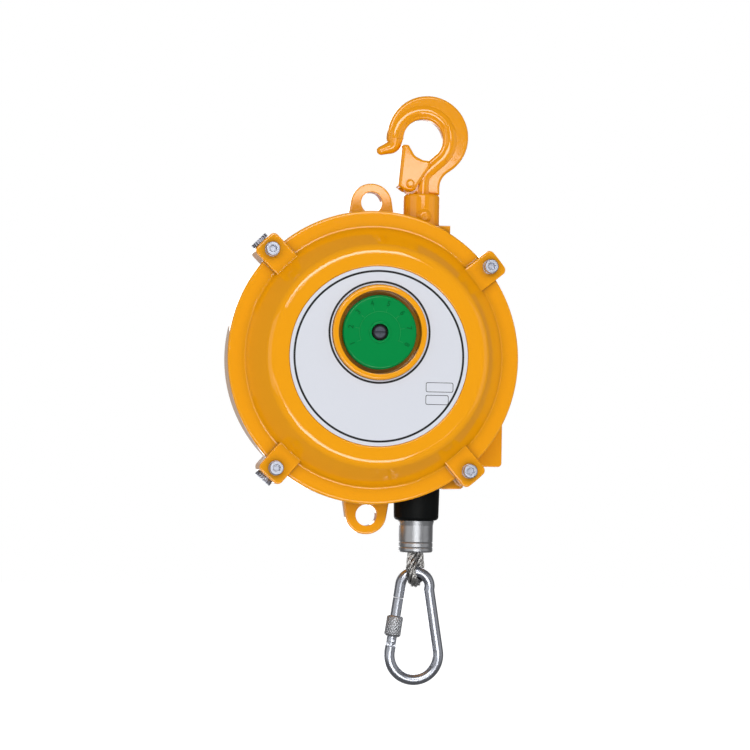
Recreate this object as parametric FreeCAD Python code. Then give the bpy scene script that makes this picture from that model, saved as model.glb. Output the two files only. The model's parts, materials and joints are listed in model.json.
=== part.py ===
"""Hanging spring balancer for hand tools, for a 15 to 22 kg load on a wire rope.

Millimetres, +Z up. The dial side faces -Y. The origin is the point where the load hangs in the top
hook's bowl, and the load line runs straight down from it along Z.
"""
import FreeCAD, Part
import math
import os

V = FreeCAD.Vector
X_AXIS, Y_AXIS, Z_AXIS = V(1, 0, 0), V(0, 1, 0), V(0, 0, 1)

# ---- where the main parts lie -------------------------------------------------------------
HOUSING_X, HOUSING_Z = -39.0, -186.0      # centre of the round housing
SHAFT_Z = HOUSING_Z + 18.0                # drum shaft, above the housing's centre
WORM_X, WORM_Y = HOUSING_X + 88.0, 31.0   # upright worm beside the spring case

# ---- housing ------------------------------------------------------------------------------
SPLIT_Y = -20.0                           # joint between front cover and rear case
REAR_Y = 54.0                             # back of the rear case
CASE_R, CASE_REAR_R, CASE_WALL = 109.4, 107.6, 4.0
RIM_R, RIM_Y = 111.8, -28.0               # flat rim of the front cover
CONE_FOOT_R, CONE_TOP_R = 98.8, 82.5
FACE_Y = -53.0                            # front annulus round the face label
LABEL_R, LABEL_RECESS = 68.3, 0.6
LABEL_PLANE_Y = FACE_Y + LABEL_RECESS
BOSS_R, BOSS_Y = 35.8, -57.0              # ring round the dial
DIAL_WELL_R, DIAL_WELL_Y = 31.6, -47.5
LUG_PCR = 113.0
LUG_ANGLES = (135.0, 229.0, 39.0, 311.0)
LUG_W, LUG_END_R, LUG_CORNER_R = 21.5, 122.2, 4.2
LUG_PAD_Y, LUG_BACK_Y = -31.5, -1.0
PLUG_LUGS, PLUG_SHANK = LUG_ANGLES[:2], 4.6
EAR_Z, EAR_R, EAR_HOLE_R, EAR_BASE_W, EAR_T = 120.6, 14.7, 8.2, 38.8, 11.0
SEAT_Z = HOUSING_Z + 102.6                # flat that carries the hook's socket
SEAT_HALF = 19.4
OUTLET_Z = HOUSING_Z - 98.0               # flat that the rubber bumper stops against
WORM_BOX_X, WORM_BOX_BOTTOM, WORM_BOX_TOP = HOUSING_X + 107.5, HOUSING_Z - 82.0, HOUSING_Z + 52.0

# ---- rope and drum ------------------------------------------------------------------------
ROPE_R = 4.0
DRUM_R0, DRUM_R1 = 39.0, 58.0             # rope centre on the drum, rope in and rope out
DRUM_TURNS, DRUM_PITCH = 5, 8.4
DRUM_FRONT_Y, DRUM_REAR_Y = -47.6, 9.0
HUB_FRONT_Y, HUB_REAR_Y = -35.4, 41.0
SPRING_HUB_R = 22.0

# ---- shaft, spring case, worm drive -------------------------------------------------------
SHAFT_R = 10.0
RUN = 0.05                                # radial running clearance
SPRING_CASE_R, SPRING_CASE_FRONT, SPRING_CASE_REAR = 70.0, 16.0, 45.0
MODULE, WHEEL_TEETH, WHEEL_W = 3.0, 52, 12.0
WHEEL_R = MODULE * WHEEL_TEETH / 2
WORM_R = WORM_X - HOUSING_X - WHEEL_R     # pitch radius of the worm
WORM_PITCH = math.pi * MODULE
WORM_TURNS, WORM_LENGTH, WORM_PLUG_L = 3, 37.0, 14.0
BACKLASH = 0.14                           # off each flank of the thread and of the wheel's teeth
DIAL_R, DIAL_Y, DIAL_T = 28.1, -54.6, 5.2

# ---- hook ---------------------------------------------------------------------------------
BOWL_R = 15.5
HOOK_BACK = V(3.8, 0, -13.3)              # centre of the hook's outer curve
HOOK_BACK_R = 31.6
HOOK_T, HOOK_WEB = 13.0, 10.0             # across the bead round the bowl, and across the web
JAW_ANGLE = -42.5                         # where the bowl runs out into the throat
SOCKET_R, SOCKET_TOP, SOCKET_BOTTOM = 14.1, -58.4, -82.4
CROSS_PIN_Z, SPLIT_PIN_Z = -76.0, -109.4
LATCH_X, LATCH_Z = -10.4, -50.6           # latch pivot
LATCH_T, LATCH_HALF = 1.6, 8.6

# ---- rope end and carabiner ---------------------------------------------------------------
BUMPER_R, BUMPER_BOTTOM = 17.8, -310.0
FERRULE_R, FERRULE_BOTTOM = 13.1, -334.6
LOOP_TURN = 60.0                          # loop plane, degrees round Z from the front view
LOOP_HALF, LOOP_BOTTOM = 9.1, -358.1
BAR_R = 4.1
CARABINER_TOP = LOOP_BOTTOM + ROPE_R + 2 * BAR_R + 0.3
CARABINER_TOP_R, CARABINER_LOW_R, CARABINER_H = 11.4, 19.05, 91.3
CARABINER_KNEE = -12.0                    # where the top bend meets the long side, below level
GATE_PIN_S = 43.5                         # distances down the gate side from the top bend
GATE_TOP_S = 10.7
SLEEVE_TOP_S, SLEEVE_L, SLEEVE_R = 24.2, 16.4, 6.3


# ---- helpers ------------------------------------------------------------------------------
def ycyl(r, y0, y1, x=HOUSING_X, z=SHAFT_Z):
    return Part.makeCylinder(r, y1 - y0, V(x, y0, z), Y_AXIS)


def zcyl(r, z0, z1, x=0.0, y=0.0):
    return Part.makeCylinder(r, z1 - z0, V(x, y, z0), Z_AXIS)


def block(x0, x1, y0, y1, z0, z1):
    return Part.makeBox(x1 - x0, y1 - y0, z1 - z0, V(x0, y0, z0))


def corners(points, closed=True):
    """Edges of a path through (point, radius) corners, with a tangent arc at each rounded one."""
    n = len(points)
    ins, outs = [], []
    edges = []
    for i, (p, r) in enumerate(points):
        if r <= 0 or (not closed and i in (0, n - 1)):
            ins.append(p)
            outs.append(p)
            continue
        a = (points[i - 1][0] - p).normalize()
        b = (points[(i + 1) % n][0] - p).normalize()
        half = a.getAngle(b) / 2
        reach = r / math.tan(half)
        bisector = (a + b).normalize()
        middle = p + bisector * (r / math.sin(half) - r)
        ins.append(p + a * reach)
        outs.append(p + b * reach)
        edges.append(Part.Arc(ins[i], middle, outs[i]).toShape())
    for i in range(n if closed else n - 1):
        start, end = outs[i], ins[(i + 1) % n]
        if (end - start).Length > 1e-6:
            edges.append(Part.LineSegment(start, end).toShape())
    return edges


def wire(edges):
    return Part.Wire(Part.sortEdges(edges)[0])


def flat(points, place):
    """Face inside (u, v, radius) corners, laid where place puts them."""
    return Part.Face(wire(corners([(place(u, v), r) for u, v, r in points])))


def turned(points, x=HOUSING_X, z=SHAFT_Z):
    """Solid of revolution about Y from (radius, y, corner radius) points."""
    face = flat(points, lambda r, y: V(x + r, y, z))
    return face.revolve(V(x, 0, z), Y_AXIS, 360)


def turned_z(points, x=0.0, y=0.0):
    """Solid of revolution about Z from (radius, z, corner radius) points."""
    face = flat(points, lambda r, z: V(x + r, y, z))
    return face.revolve(V(x, y, 0), Z_AXIS, 360)


def plate(points, y0, y1):
    """Plate with (x, z, corner radius) corners, from y0 to y1."""
    return flat(points, lambda x, z: V(x, y0, z)).extrude(V(0, y1 - y0, 0))


def ring_y(outer, inner, y0, y1, x=HOUSING_X, z=SHAFT_Z):
    return ycyl(outer, y0, y1, x, z).cut(ycyl(inner, y0 - 1, y1 + 1, x, z))


def ring_z(outer, inner, z0, z1, x=0.0, y=0.0):
    return zcyl(outer, z0, z1, x, y).cut(zcyl(inner, z0 - 1, z1 + 1, x, y))


def hexagon(across, length, base, axis):
    """Hexagonal bar, its flats across apart, standing on base along axis."""
    side = axis.cross(X_AXIS if abs(axis.x) < 0.5 else Y_AXIS).normalize()
    up = axis.cross(side)
    r = across / math.sqrt(3)
    angles = [math.radians(60 * k) for k in range(7)]
    points = [base + side * (r * math.cos(a)) + up * (r * math.sin(a)) for a in angles]
    return Part.Face(Part.makePolygon(points)).extrude(axis * length)


def tube(path, r):
    """Round bar along a tangent path."""
    first = path.Edges[0]
    start = first.valueAt(first.FirstParameter)
    section = Part.Wire(Part.Circle(start, first.tangentAt(first.FirstParameter), r).toShape())
    return path.makePipeShell([section], True, False)


def union(first, *others):
    return first.multiFuse(list(others)).removeSplitter()


def at_angle(shape, degrees, x=HOUSING_X, z=HOUSING_Z):
    """The shape, drawn along +X from the housing's centre, turned up towards +Z."""
    turned_shape = shape.copy()
    turned_shape.rotate(V(x, 0, z), Y_AXIS, -degrees)
    return turned_shape


def coil(centre, axis, r0, r1, half_turns, pitch, start):
    """Coil of tangent half circles: each leans by half a pitch, so the turns climb like a helix."""
    cross = axis.cross(start)
    points = []
    for k in range(half_turns + 1):
        r = r0 + (r1 - r0) * k / half_turns
        points.append(centre + start * (r if k % 2 == 0 else -r) + axis * (pitch * k / 2))
    edges = []
    for k in range(half_turns):
        a, b = points[k], points[k + 1]
        middle = (a + b) * 0.5 + cross * ((b - a).Length / 2 * (1 if k % 2 == 0 else -1))
        edges.append(Part.Arc(a, middle, b).toShape())
    return Part.Wire(edges)


# ---- housing ------------------------------------------------------------------------------
def lug(y0, y1, end_r):
    """Clamp lug for one cover screw, drawn along +X from the housing's centre."""
    arm = block(HOUSING_X + CONE_FOOT_R - 4, HOUSING_X + end_r, y0, y1,
                HOUSING_Z - LUG_W / 2, HOUSING_Z + LUG_W / 2)
    arm = arm.common(ycyl(end_r, y0, y1, z=HOUSING_Z))
    outer = [e for e in arm.Edges if e.BoundBox.YLength > y1 - y0 - 0.1
             and e.BoundBox.DiagonalLength < y1 - y0 + 0.1 and e.BoundBox.XMin > HOUSING_X + end_r - 2]
    return arm.makeFillet(LUG_CORNER_R, outer)


def lug_hole(r, y0, y1):
    return ycyl(r, y0, y1, HOUSING_X + LUG_PCR, HOUSING_Z)


def ear(side):
    """Safety ear above (side 1) or below (side -1) the housing."""
    centre = HOUSING_Z + side * EAR_Z
    base = HOUSING_Z + side * (CASE_REAR_R - 8)
    top = centre + side * EAR_R
    half = EAR_BASE_W / 2
    tip = EAR_R - 1.1
    body = plate([(HOUSING_X - half, base, 0), (HOUSING_X + half, base, 0),
                  (HOUSING_X + tip, top, EAR_R + 0.8), (HOUSING_X - tip, top, EAR_R + 0.8)], 0, EAR_T)
    body = body.makeFillet(1.0, [e for e in body.Edges if e.BoundBox.YLength < 0.01
                                 and abs(e.CenterOfMass.z - base) > 1])
    return body.cut(ycyl(EAR_HOLE_R, -1, EAR_T + 1, HOUSING_X, centre))


def case_envelope():
    return turned([(0, SPLIT_Y, 0), (CASE_R, SPLIT_Y, 0), (CASE_REAR_R, REAR_Y, 12),
                   (0, REAR_Y, 0)], z=HOUSING_Z)


def rear_case():
    wall = CASE_WALL
    cavity = turned([(0, SPLIT_Y - 1, 0), (CASE_R - wall, SPLIT_Y - 1, 0),
                     (CASE_REAR_R - wall, REAR_Y - 5, 9), (0, REAR_Y - 5, 0)], z=HOUSING_Z)
    worm_box = plate([(WORM_X - 14, WORM_BOX_BOTTOM, 0), (WORM_BOX_X, WORM_BOX_BOTTOM, 3),
                      (WORM_BOX_X, WORM_BOX_TOP, 8), (WORM_X - 14, WORM_BOX_TOP, 0)],
                     WORM_Y - 21, WORM_Y + 19)
    lugs = [at_angle(lug(SPLIT_Y, LUG_BACK_Y, LUG_END_R), angle) for angle in LUG_ANGLES]
    gusset = plate([(HOUSING_X + 103, HOUSING_Z - 8, 0), (HOUSING_X + 103, HOUSING_Z - 28, 0),
                    (HOUSING_X + 112, HOUSING_Z - 23, 3), (HOUSING_X + 121, HOUSING_Z - 12, 2),
                    (HOUSING_X + 121, HOUSING_Z - 8, 0)], SPLIT_Y + 2, LUG_BACK_Y - 5)
    shell = union(case_envelope(), worm_box, ear(1), ear(-1), at_angle(gusset, LUG_ANGLES[3]), *lugs)
    shell = shell.cut(cavity)

    seat = block(-SEAT_HALF, SEAT_HALF, SPLIT_Y, SEAT_HALF, SEAT_Z - 15, SEAT_Z)
    outlet = zcyl(23.5, OUTLET_Z - 12, OUTLET_Z + 12).common(case_envelope())
    bearing_boss = ycyl(22, REAR_Y - 8, REAR_Y + 5)
    rib_face = [(24, REAR_Y - 4, 0), (98, REAR_Y - 4, 0), (92, REAR_Y + 2.5, 1), (24, REAR_Y + 2.5, 0)]
    rib = flat(rib_face, lambda r, y: V(HOUSING_X + r, y, HOUSING_Z - 2.5)).extrude(V(0, 0, 5))
    ribs = [at_angle(rib, 30 + 60 * k) for k in range(6)]
    inner_lugs = [at_angle(lug(SPLIT_Y, LUG_BACK_Y, CASE_R - 1), angle) for angle in LUG_ANGLES]
    box_core = worm_box.common(cavity)
    body = union(shell, seat, outlet, bearing_boss, box_core, *ribs, *inner_lugs)

    spigot_room = turned([(CASE_R - 17, SPLIT_Y - 1, 0), (CASE_R - wall + 0.1, SPLIT_Y - 1, 0),
                          (CASE_R - wall + 0.1, SPLIT_Y + 4.5, 0), (CASE_R - 17, SPLIT_Y + 4.5, 0)],
                         z=HOUSING_Z)
    cuts = [
        spigot_room,
        block(-SEAT_HALF, 40, -SEAT_HALF + 2, SEAT_HALF, SEAT_Z, SEAT_Z + 20),
        zcyl(11.0, SEAT_Z - 20, SEAT_Z + 1),
        zcyl(18.8, OUTLET_Z - 20, OUTLET_Z),
        zcyl(12.0, OUTLET_Z - 1, OUTLET_Z + 20),
        ycyl(16.0, REAR_Y - 10, REAR_Y + 2),
        ycyl(SHAFT_R + 3.5, REAR_Y, REAR_Y + 6),
        ycyl(WHEEL_R + 6.0, WORM_Y - WHEEL_W / 2 - 3, WORM_Y + WHEEL_W / 2 + 3),
        zcyl(14.5, WORM_BOX_BOTTOM - 1, SHAFT_Z + WORM_LENGTH / 2 + 1.5, WORM_X, WORM_Y),
        zcyl(9.0, SHAFT_Z, WORM_BOX_TOP - 4, WORM_X, WORM_Y),
    ]
    cuts += [at_angle(lug_hole(3.0, SPLIT_Y - 1, LUG_BACK_Y - 3), angle) for angle in LUG_ANGLES]
    cuts += [at_angle(plug_hole(), angle) for angle in PLUG_LUGS]
    return body.cut(Part.makeCompound(cuts)).removeSplitter()


def plug_hole():
    start = V(HOUSING_X + LUG_END_R - PLUG_SHANK, (SPLIT_Y + LUG_BACK_Y) / 2, HOUSING_Z)
    return Part.makeCylinder(4.0, 2 * PLUG_SHANK, start, X_AXIS)


def front_cover():
    outer = turned([
        (0, SPLIT_Y, 0), (RIM_R, SPLIT_Y, 0.6), (RIM_R, RIM_Y, 1.6), (CONE_FOOT_R, RIM_Y, 1.6),
        (CONE_TOP_R, FACE_Y, 8.0), (LABEL_R, FACE_Y, 0.4), (LABEL_R - 0.3, LABEL_PLANE_Y, 0),
        (0, LABEL_PLANE_Y, 0)], z=HOUSING_Z)
    pads = [at_angle(rounded_pad(), angle) for angle in LUG_ANGLES]
    spigot = turned([(CASE_R - 12, SPLIT_Y - 3, 0), (CASE_R - 12, SPLIT_Y + 4, 0),
                     (CASE_R - CASE_WALL, SPLIT_Y + 4, 0), (CASE_R - CASE_WALL, SPLIT_Y - 3, 0)],
                    z=HOUSING_Z)
    cavity = turned([
        (0, SPLIT_Y + 1, 0), (CASE_R - 9, SPLIT_Y + 1, 0), (CASE_R - 9, SPLIT_Y - 1, 0),
        (CONE_FOOT_R - 4.5, RIM_Y + 2, 3), (CONE_TOP_R - 4.5, FACE_Y + 4, 5), (0, FACE_Y + 4, 0)],
        z=HOUSING_Z)
    ring = ycyl(BOSS_R, BOSS_Y, DIAL_WELL_Y + 3.5)
    ring = ring.makeFillet(1.6, [e for e in ring.Edges if abs(e.BoundBox.YMax - BOSS_Y) < 0.01])
    bearing_boss = ycyl(20, DIAL_WELL_Y, -36)
    body = union(outer, *pads).cut(cavity)
    spigot = spigot.cut(cavity)
    body = union(body, spigot, ring, bearing_boss)
    cuts = [ycyl(DIAL_WELL_R, BOSS_Y - 1, DIAL_WELL_Y), ycyl(14.0, -46, -35),
            ycyl(SHAFT_R + 0.5, -50, -40)]
    cuts += [at_angle(lug_hole(3.3, LUG_PAD_Y - 1, SPLIT_Y + 1), angle) for angle in LUG_ANGLES]
    # spigot left out where the hook's seat and the rope outlet fill the case
    cuts += [block(-25, 25, SPLIT_Y, SPLIT_Y + 6, SEAT_Z - 20, SEAT_Z + 20),
             block(-27, 27, SPLIT_Y, SPLIT_Y + 6, OUTLET_Z - 20, OUTLET_Z + 16)]
    return body.cut(Part.makeCompound(cuts)).removeSplitter()


def rounded_pad():
    pad = lug(LUG_PAD_Y, SPLIT_Y, LUG_END_R)
    front = [e for e in pad.Edges if abs(e.BoundBox.YMax - LUG_PAD_Y) < 0.01]
    return pad.makeFillet(1.0, front)


def cover_screws():
    parts = []
    head_y = LUG_PAD_Y - 1.3
    for angle in LUG_ANGLES:
        head = ycyl(5.25, head_y - 6, head_y, HOUSING_X + LUG_PCR, HOUSING_Z)
        head = head.makeFillet(0.6, [e for e in head.Edges if abs(e.BoundBox.YMax - head_y + 6) < 0.01])
        shank = lug_hole(3.0, head_y, LUG_BACK_Y - 4)
        socket = hexagon(5.0, 3.2, V(HOUSING_X + LUG_PCR, head_y - 6.1, HOUSING_Z), Y_AXIS)
        parts.append(at_angle(head.fuse(shank).cut(socket), angle))
    return Part.makeCompound(parts)


def cover_washers():
    washer = ring_y(5.6, 3.1, LUG_PAD_Y - 1.3, LUG_PAD_Y, HOUSING_X + LUG_PCR, HOUSING_Z)
    return Part.makeCompound([at_angle(washer, angle) for angle in LUG_ANGLES])


def side_plugs():
    """Knurled steel plugs screwed into the ends of the two left lugs."""
    parts = []
    y = (SPLIT_Y + LUG_BACK_Y) / 2
    for angle in PLUG_LUGS:
        end = V(HOUSING_X + LUG_END_R, y, HOUSING_Z)
        head = Part.makeCylinder(7.2, 3.0, end, X_AXIS)
        shank = Part.makeCylinder(4.0, PLUG_SHANK, end - X_AXIS * PLUG_SHANK, X_AXIS)
        notches = []
        for k in range(20):
            a = 2 * math.pi * k / 20
            centre = end + V(-1, 7.5 * math.cos(a), 7.5 * math.sin(a))
            notches.append(Part.makeCylinder(0.6, 5, centre, X_AXIS))
        slot = block(end.x + 1.6, end.x + 4, y - 8, y + 8, end.z - 0.8, end.z + 0.8)
        parts.append(at_angle(head.cut(Part.makeCompound(notches)).fuse(shank).cut(slot), angle))
    return Part.makeCompound(parts)


def face_label():
    disc = ycyl(LABEL_R - 0.7, LABEL_PLANE_Y - 0.35, LABEL_PLANE_Y, HOUSING_X, HOUSING_Z)
    return disc.cut(ycyl(BOSS_R + 0.4, LABEL_PLANE_Y - 1, LABEL_PLANE_Y + 1))


def rope_guide_bush():
    return turned_z([(ROPE_R + 1.0, OUTLET_Z + 1.5, 0), (12.0, OUTLET_Z + 1.5, 0),
                     (12.0, OUTLET_Z + 12, 0), (15.0, OUTLET_Z + 12, 0), (15.0, OUTLET_Z + 15, 0),
                     (ROPE_R + 3.5, OUTLET_Z + 15, 2), (ROPE_R + 1.0, OUTLET_Z + 9, 2)])


def front_bearing():
    return ring_y(14.0, SHAFT_R + RUN, -46, -36)


def rear_bearing():
    return ring_y(16.0, SHAFT_R + RUN, REAR_Y - 8, REAR_Y + 2)


def worm_upper_bush():
    return ring_z(9.0, 6.0 + RUN, SHAFT_Z + WORM_LENGTH / 2 + 1.5, WORM_BOX_TOP - 4, WORM_X, WORM_Y)


def worm_end_plug():
    return ring_z(14.5, 10.0, WORM_BOX_BOTTOM, WORM_BOX_BOTTOM + WORM_PLUG_L, WORM_X, WORM_Y)


def worm_lower_bush():
    return ring_z(10.0, 7.0 + RUN, WORM_BOX_BOTTOM, WORM_BOX_BOTTOM + WORM_PLUG_L, WORM_X, WORM_Y)


# ---- hook ---------------------------------------------------------------------------------
def polar(centre, r, degrees):
    a = math.radians(degrees)
    return centre + V(r * math.cos(a), 0, r * math.sin(a))


def hook_bead(points, r, end_r):
    """Round bar along (x, z, corner radius) points, tapering from r to end_r, with a ball at its end."""
    path = wire(corners([(V(x, 0, z), corner_r) for x, z, corner_r in points], closed=False))
    first, last = path.Edges[0], path.Edges[-1]
    start, end = first.valueAt(first.FirstParameter), last.valueAt(last.LastParameter)
    sections = [Part.Wire(Part.Circle(start, first.tangentAt(first.FirstParameter), r).toShape())]
    if end_r != r:
        sections.append(Part.Wire(Part.Circle(end, last.tangentAt(last.LastParameter), end_r).toShape()))
    return path.makePipeShell(sections, True, False), Part.makeSphere(end_r, end)


def lifting_hook():
    """Forged hook: a round bead follows the bowl, the nose and the neck, and a web backs it."""
    bowl = V(0, 0, -BOWL_R)
    back_low = polar(HOOK_BACK, HOOK_BACK_R, -56)
    neck_x, neck_z = 13.4, SOCKET_TOP + 0.3
    jaw = polar(bowl, BOWL_R, JAW_ANGLE)
    nose = polar(HOOK_BACK, HOOK_BACK_R, 184)
    inner_nose = polar(bowl, BOWL_R, 180)
    back = Part.Arc(back_low, polar(HOOK_BACK, HOOK_BACK_R, 60), nose).toShape()
    throat = Part.Arc(inner_nose, polar(bowl, BOWL_R, 70), jaw).toShape()
    neck = corners([(back_low, 0), (V(neck_x, 0, -45.2), 14.5), (V(neck_x, 0, neck_z), 0),
                    (V(-12.4, 0, neck_z), 2), (V(-16.0, 0, -50.3), 4), (V(-13.6, 0, -44.8), 5),
                    (V(-4.5, 0, -40.8), 8), (jaw, 0)], closed=False)
    nose_end = corners([(nose, 0), (V(-26.4, 0, -19.0), 3), (V(-17.0, 0, -19.4), 3), (inner_nose, 0)],
                       closed=False)
    face = Part.Face(wire([back, throat] + neck + nose_end))
    face.translate(V(0, -HOOK_WEB / 2, 0))
    web = face.extrude(V(0, HOOK_WEB, 0))
    rounded = [e for e in web.Edges
               if e.BoundBox.YLength < 0.01 and e.BoundBox.ZMin > -50 and e.BoundBox.ZMax > -46]
    web = web.makeFillet(2.0, rounded)

    half = HOOK_T / 2
    middle = BOWL_R + half - 0.1
    ring = Part.makeTorus(middle, half, bowl, Y_AXIS)
    low = polar(bowl, middle, JAW_ANGLE)
    sector = plate([(0, -BOWL_R, 0), (-60, -BOWL_R, 0), (-60, 60, 0), (60, 60, 0),
                    (60, -BOWL_R + 60 * math.tan(math.radians(JAW_ANGLE)), 0)], -20, 20)
    neck_bead, _ = hook_bead([(low.x, low.z, 0), (0.6, -44.6, 12), (0.6, neck_z - 1, 0)], half, half)
    tip, tip_ball = hook_bead([(-middle, -BOWL_R, 0), (-22.6, -21.4, 5.4), (-32.4, -25.0, 0)], half, 3.4)
    body = union(web, ring.common(sector), neck_bead, tip, tip_ball)
    for side in (-1, 1):
        body = body.cut(ycyl(7.6, side * half - 3.3, side * half + 3.3, LATCH_X, LATCH_Z))
    body = body.cut(ycyl(2.5, -half - 1, half + 1, LATCH_X, LATCH_Z))
    shank = zcyl(9.0, -79.4, neck_z)
    return union(body, shank).cut(ycyl(3.0, -20, 20, 0, CROSS_PIN_Z))


def hook_socket():
    body = turned_z([(0, SOCKET_TOP, 0), (SOCKET_R, SOCKET_TOP, 2.2), (SOCKET_R, SOCKET_BOTTOM, 0.8),
                     (8.0, SOCKET_BOTTOM, 0), (8.0, -112.0, 1.0), (0, -112.0, 0)])
    body = body.cut(zcyl(9.0, -79.4, SOCKET_TOP + 1))
    pin_hole = Part.makeCylinder(1.0, 40, V(-20, 0, SPLIT_PIN_Z), X_AXIS)
    return body.cut(ycyl(3.0, -20, 20, 0, CROSS_PIN_Z)).cut(pin_hole)


def domed_pin(r, head_r, head_h, half_length, x, z):
    """Riveted cross pin along Y with two domed heads outside half_length."""
    return turned([(0, -half_length - head_h, 0), (head_r * 0.55, -half_length - head_h, head_h * 0.4),
                   (head_r, -half_length - head_h * 0.35, head_h * 0.3), (head_r, -half_length, 0),
                   (r, -half_length, 0), (r, half_length, 0), (head_r, half_length, 0),
                   (head_r, half_length + head_h * 0.35, head_h * 0.3),
                   (head_r * 0.55, half_length + head_h, head_h * 0.4),
                   (0, half_length + head_h, 0)], x, z)


def cross_pin():
    seat = math.sqrt(SOCKET_R ** 2 - 5.6 ** 2)
    pin = domed_pin(3.0, 5.6, 3.4, seat - 0.1, 0, CROSS_PIN_Z)
    return pin.cut(ring_z(SOCKET_R, 9.0, CROSS_PIN_Z - 10, CROSS_PIN_Z + 10).cut(
        ycyl(3.0, -20, 20, 0, CROSS_PIN_Z)))


def latch_pin():
    return domed_pin(2.5, 3.4, 1.6, LATCH_HALF + 0.15, LATCH_X, LATCH_Z)


def swivel_bush():
    return turned_z([(8.0 + RUN, SEAT_Z - 15, 0), (11.0, SEAT_Z - 15, 0), (11.0, SEAT_Z, 0),
                     (13.0, SEAT_Z, 0), (13.0, SEAT_Z + 0.8, 0), (8.0 + RUN, SEAT_Z + 0.8, 0)])


def thrust_washer():
    return ring_z(13.0, 8.0, SEAT_Z - 18.3, SEAT_Z - 15.3)


def swivel_nut():
    top = SEAT_Z - 18.3
    nut = hexagon(24, 10.5, V(0, 0, top - 10.5), Z_AXIS).cut(zcyl(8.0, top - 12, top + 1))
    slots = [block(-16, 16, -1.6, 1.6, top - 11, top - 6.2)]
    for k in (60, 120):
        slot = slots[0].copy()
        slot.rotate(V(0, 0, 0), Z_AXIS, k)
        slots.append(slot)
    return nut.cut(Part.makeCompound(slots))


def split_pin():
    shaft = Part.makeCylinder(1.0, 27.4, V(-12.8, 0, SPLIT_PIN_Z), X_AXIS)
    eye = Part.makeTorus(1.4, 0.7, V(-13.4, 0, SPLIT_PIN_Z), Z_AXIS)
    return shaft.fuse(eye)


def hook_latch():
    outline = [(-16.6, -20.4, 1.4), (-11.9, -20.4, 1.8), (-6.9, -28.8, 7), (-0.4, -32.0, 6),
               (5.0, -32.4, 1.8), (5.6, -36.6, 2), (-7.2, -56.6, 4.6), (-14.4, -55.9, 3),
               (-19.4, -52.4, 1.2)]
    body = plate(outline, -LATCH_HALF, LATCH_HALF)
    bends = [e for e in body.Edges if e.BoundBox.YLength < 0.01 and e.BoundBox.XMax < -15.5
             and e.BoundBox.ZLength > 15]
    body = body.makeFillet(2.4, bends)
    top_x, top_z, low_x, low_z = *outline[0][:2], *outline[-1][:2]
    lean = V(low_x - top_x, 0, low_z - top_z).normalize()
    inward = V(-lean.z, 0, lean.x)
    top = V(top_x, 0, top_z) + inward * LATCH_T - lean * 12
    low = top + lean * 60
    inside = plate([(top.x, top.z, 0), (top.x + 60, top.z, 0), (low.x + 60, low.z, 0),
                    (low.x, low.z, 0)], -LATCH_HALF + LATCH_T, LATCH_HALF - LATCH_T)
    return body.cut(inside).cut(ycyl(2.5 + RUN, -20, 20, LATCH_X, LATCH_Z))


def latch_spring():
    """Two torsion coils round the latch pin, one on each side of the hook's lug."""
    parts = []
    for side in (-1, 1):
        path = coil(V(LATCH_X, side * 3.75, LATCH_Z), Y_AXIS * side, 3.6, 3.6, 4, 1.15, Z_AXIS)
        parts.append(tube(path, 0.45))
    return Part.makeCompound(parts)


# ---- rope drum ----------------------------------------------------------------------------
def drum_path():
    """Centre line of the rope on the drum, from its free end at the rear and small end."""
    return coil(V(HOUSING_X, 0, SHAFT_Z), Y_AXIS * -1, DRUM_R0, DRUM_R1, 2 * DRUM_TURNS,
                DRUM_PITCH, X_AXIS)


def wound_rope():
    return tube(drum_path(), ROPE_R)


def rope_drum():
    slope = (DRUM_R1 - DRUM_R0) / (DRUM_TURNS * DRUM_PITCH)

    def barrel_r(y):
        return DRUM_R0 - slope * y - 1.2

    barrel = turned([
        (barrel_r(5.2) - 9, DRUM_REAR_Y, 0), (barrel_r(5.2) + 8.5, DRUM_REAR_Y, 1),
        (barrel_r(5.2) + 8.5, 5.4, 1), (barrel_r(5.2), 5.2, 0), (barrel_r(-45), -45, 0),
        (barrel_r(-45), DRUM_FRONT_Y, 1), (barrel_r(-45) - 10, DRUM_FRONT_Y, 1),
        (barrel_r(-6) - 8.5, -6, 2)])
    web = ycyl(barrel_r(0) - 6, -3, 4)
    hub = ycyl(18, HUB_FRONT_Y, 4)
    spring_hub = ycyl(SPRING_HUB_R, 2, HUB_REAR_Y)
    body = union(barrel, web, hub, spring_hub)
    groove = tube(drum_path(), ROPE_R + 0.1)
    entry = Part.makeCylinder(ROPE_R + 0.1, 30, V(HOUSING_X + DRUM_R0, 0, SHAFT_Z), Z_AXIS * -1)
    holes = []
    for k in range(5):
        a = math.radians(72 * k + 36)
        holes.append(ycyl(6.0, -10, 15, HOUSING_X + 26 * math.cos(a), SHAFT_Z + 26 * math.sin(a)))
    spring_slot = block(HOUSING_X + 14, HOUSING_X + SPRING_HUB_R + 1, SPRING_CASE_FRONT + 4,
                        HUB_REAR_Y + 1, SHAFT_Z - 0.6, SHAFT_Z + 0.6)
    bore = ycyl(13.0, HUB_FRONT_Y - 1, HUB_REAR_Y + 1)
    return body.cut(Part.makeCompound([groove, entry, bore, spring_slot] + holes))


def drum_bushes():
    front = ring_y(13.0, SHAFT_R + RUN, HUB_FRONT_Y, HUB_FRONT_Y + 14)
    rear = ring_y(13.0, SHAFT_R + RUN, HUB_REAR_Y - 14, HUB_REAR_Y)
    return Part.makeCompound([front, rear])


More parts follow.
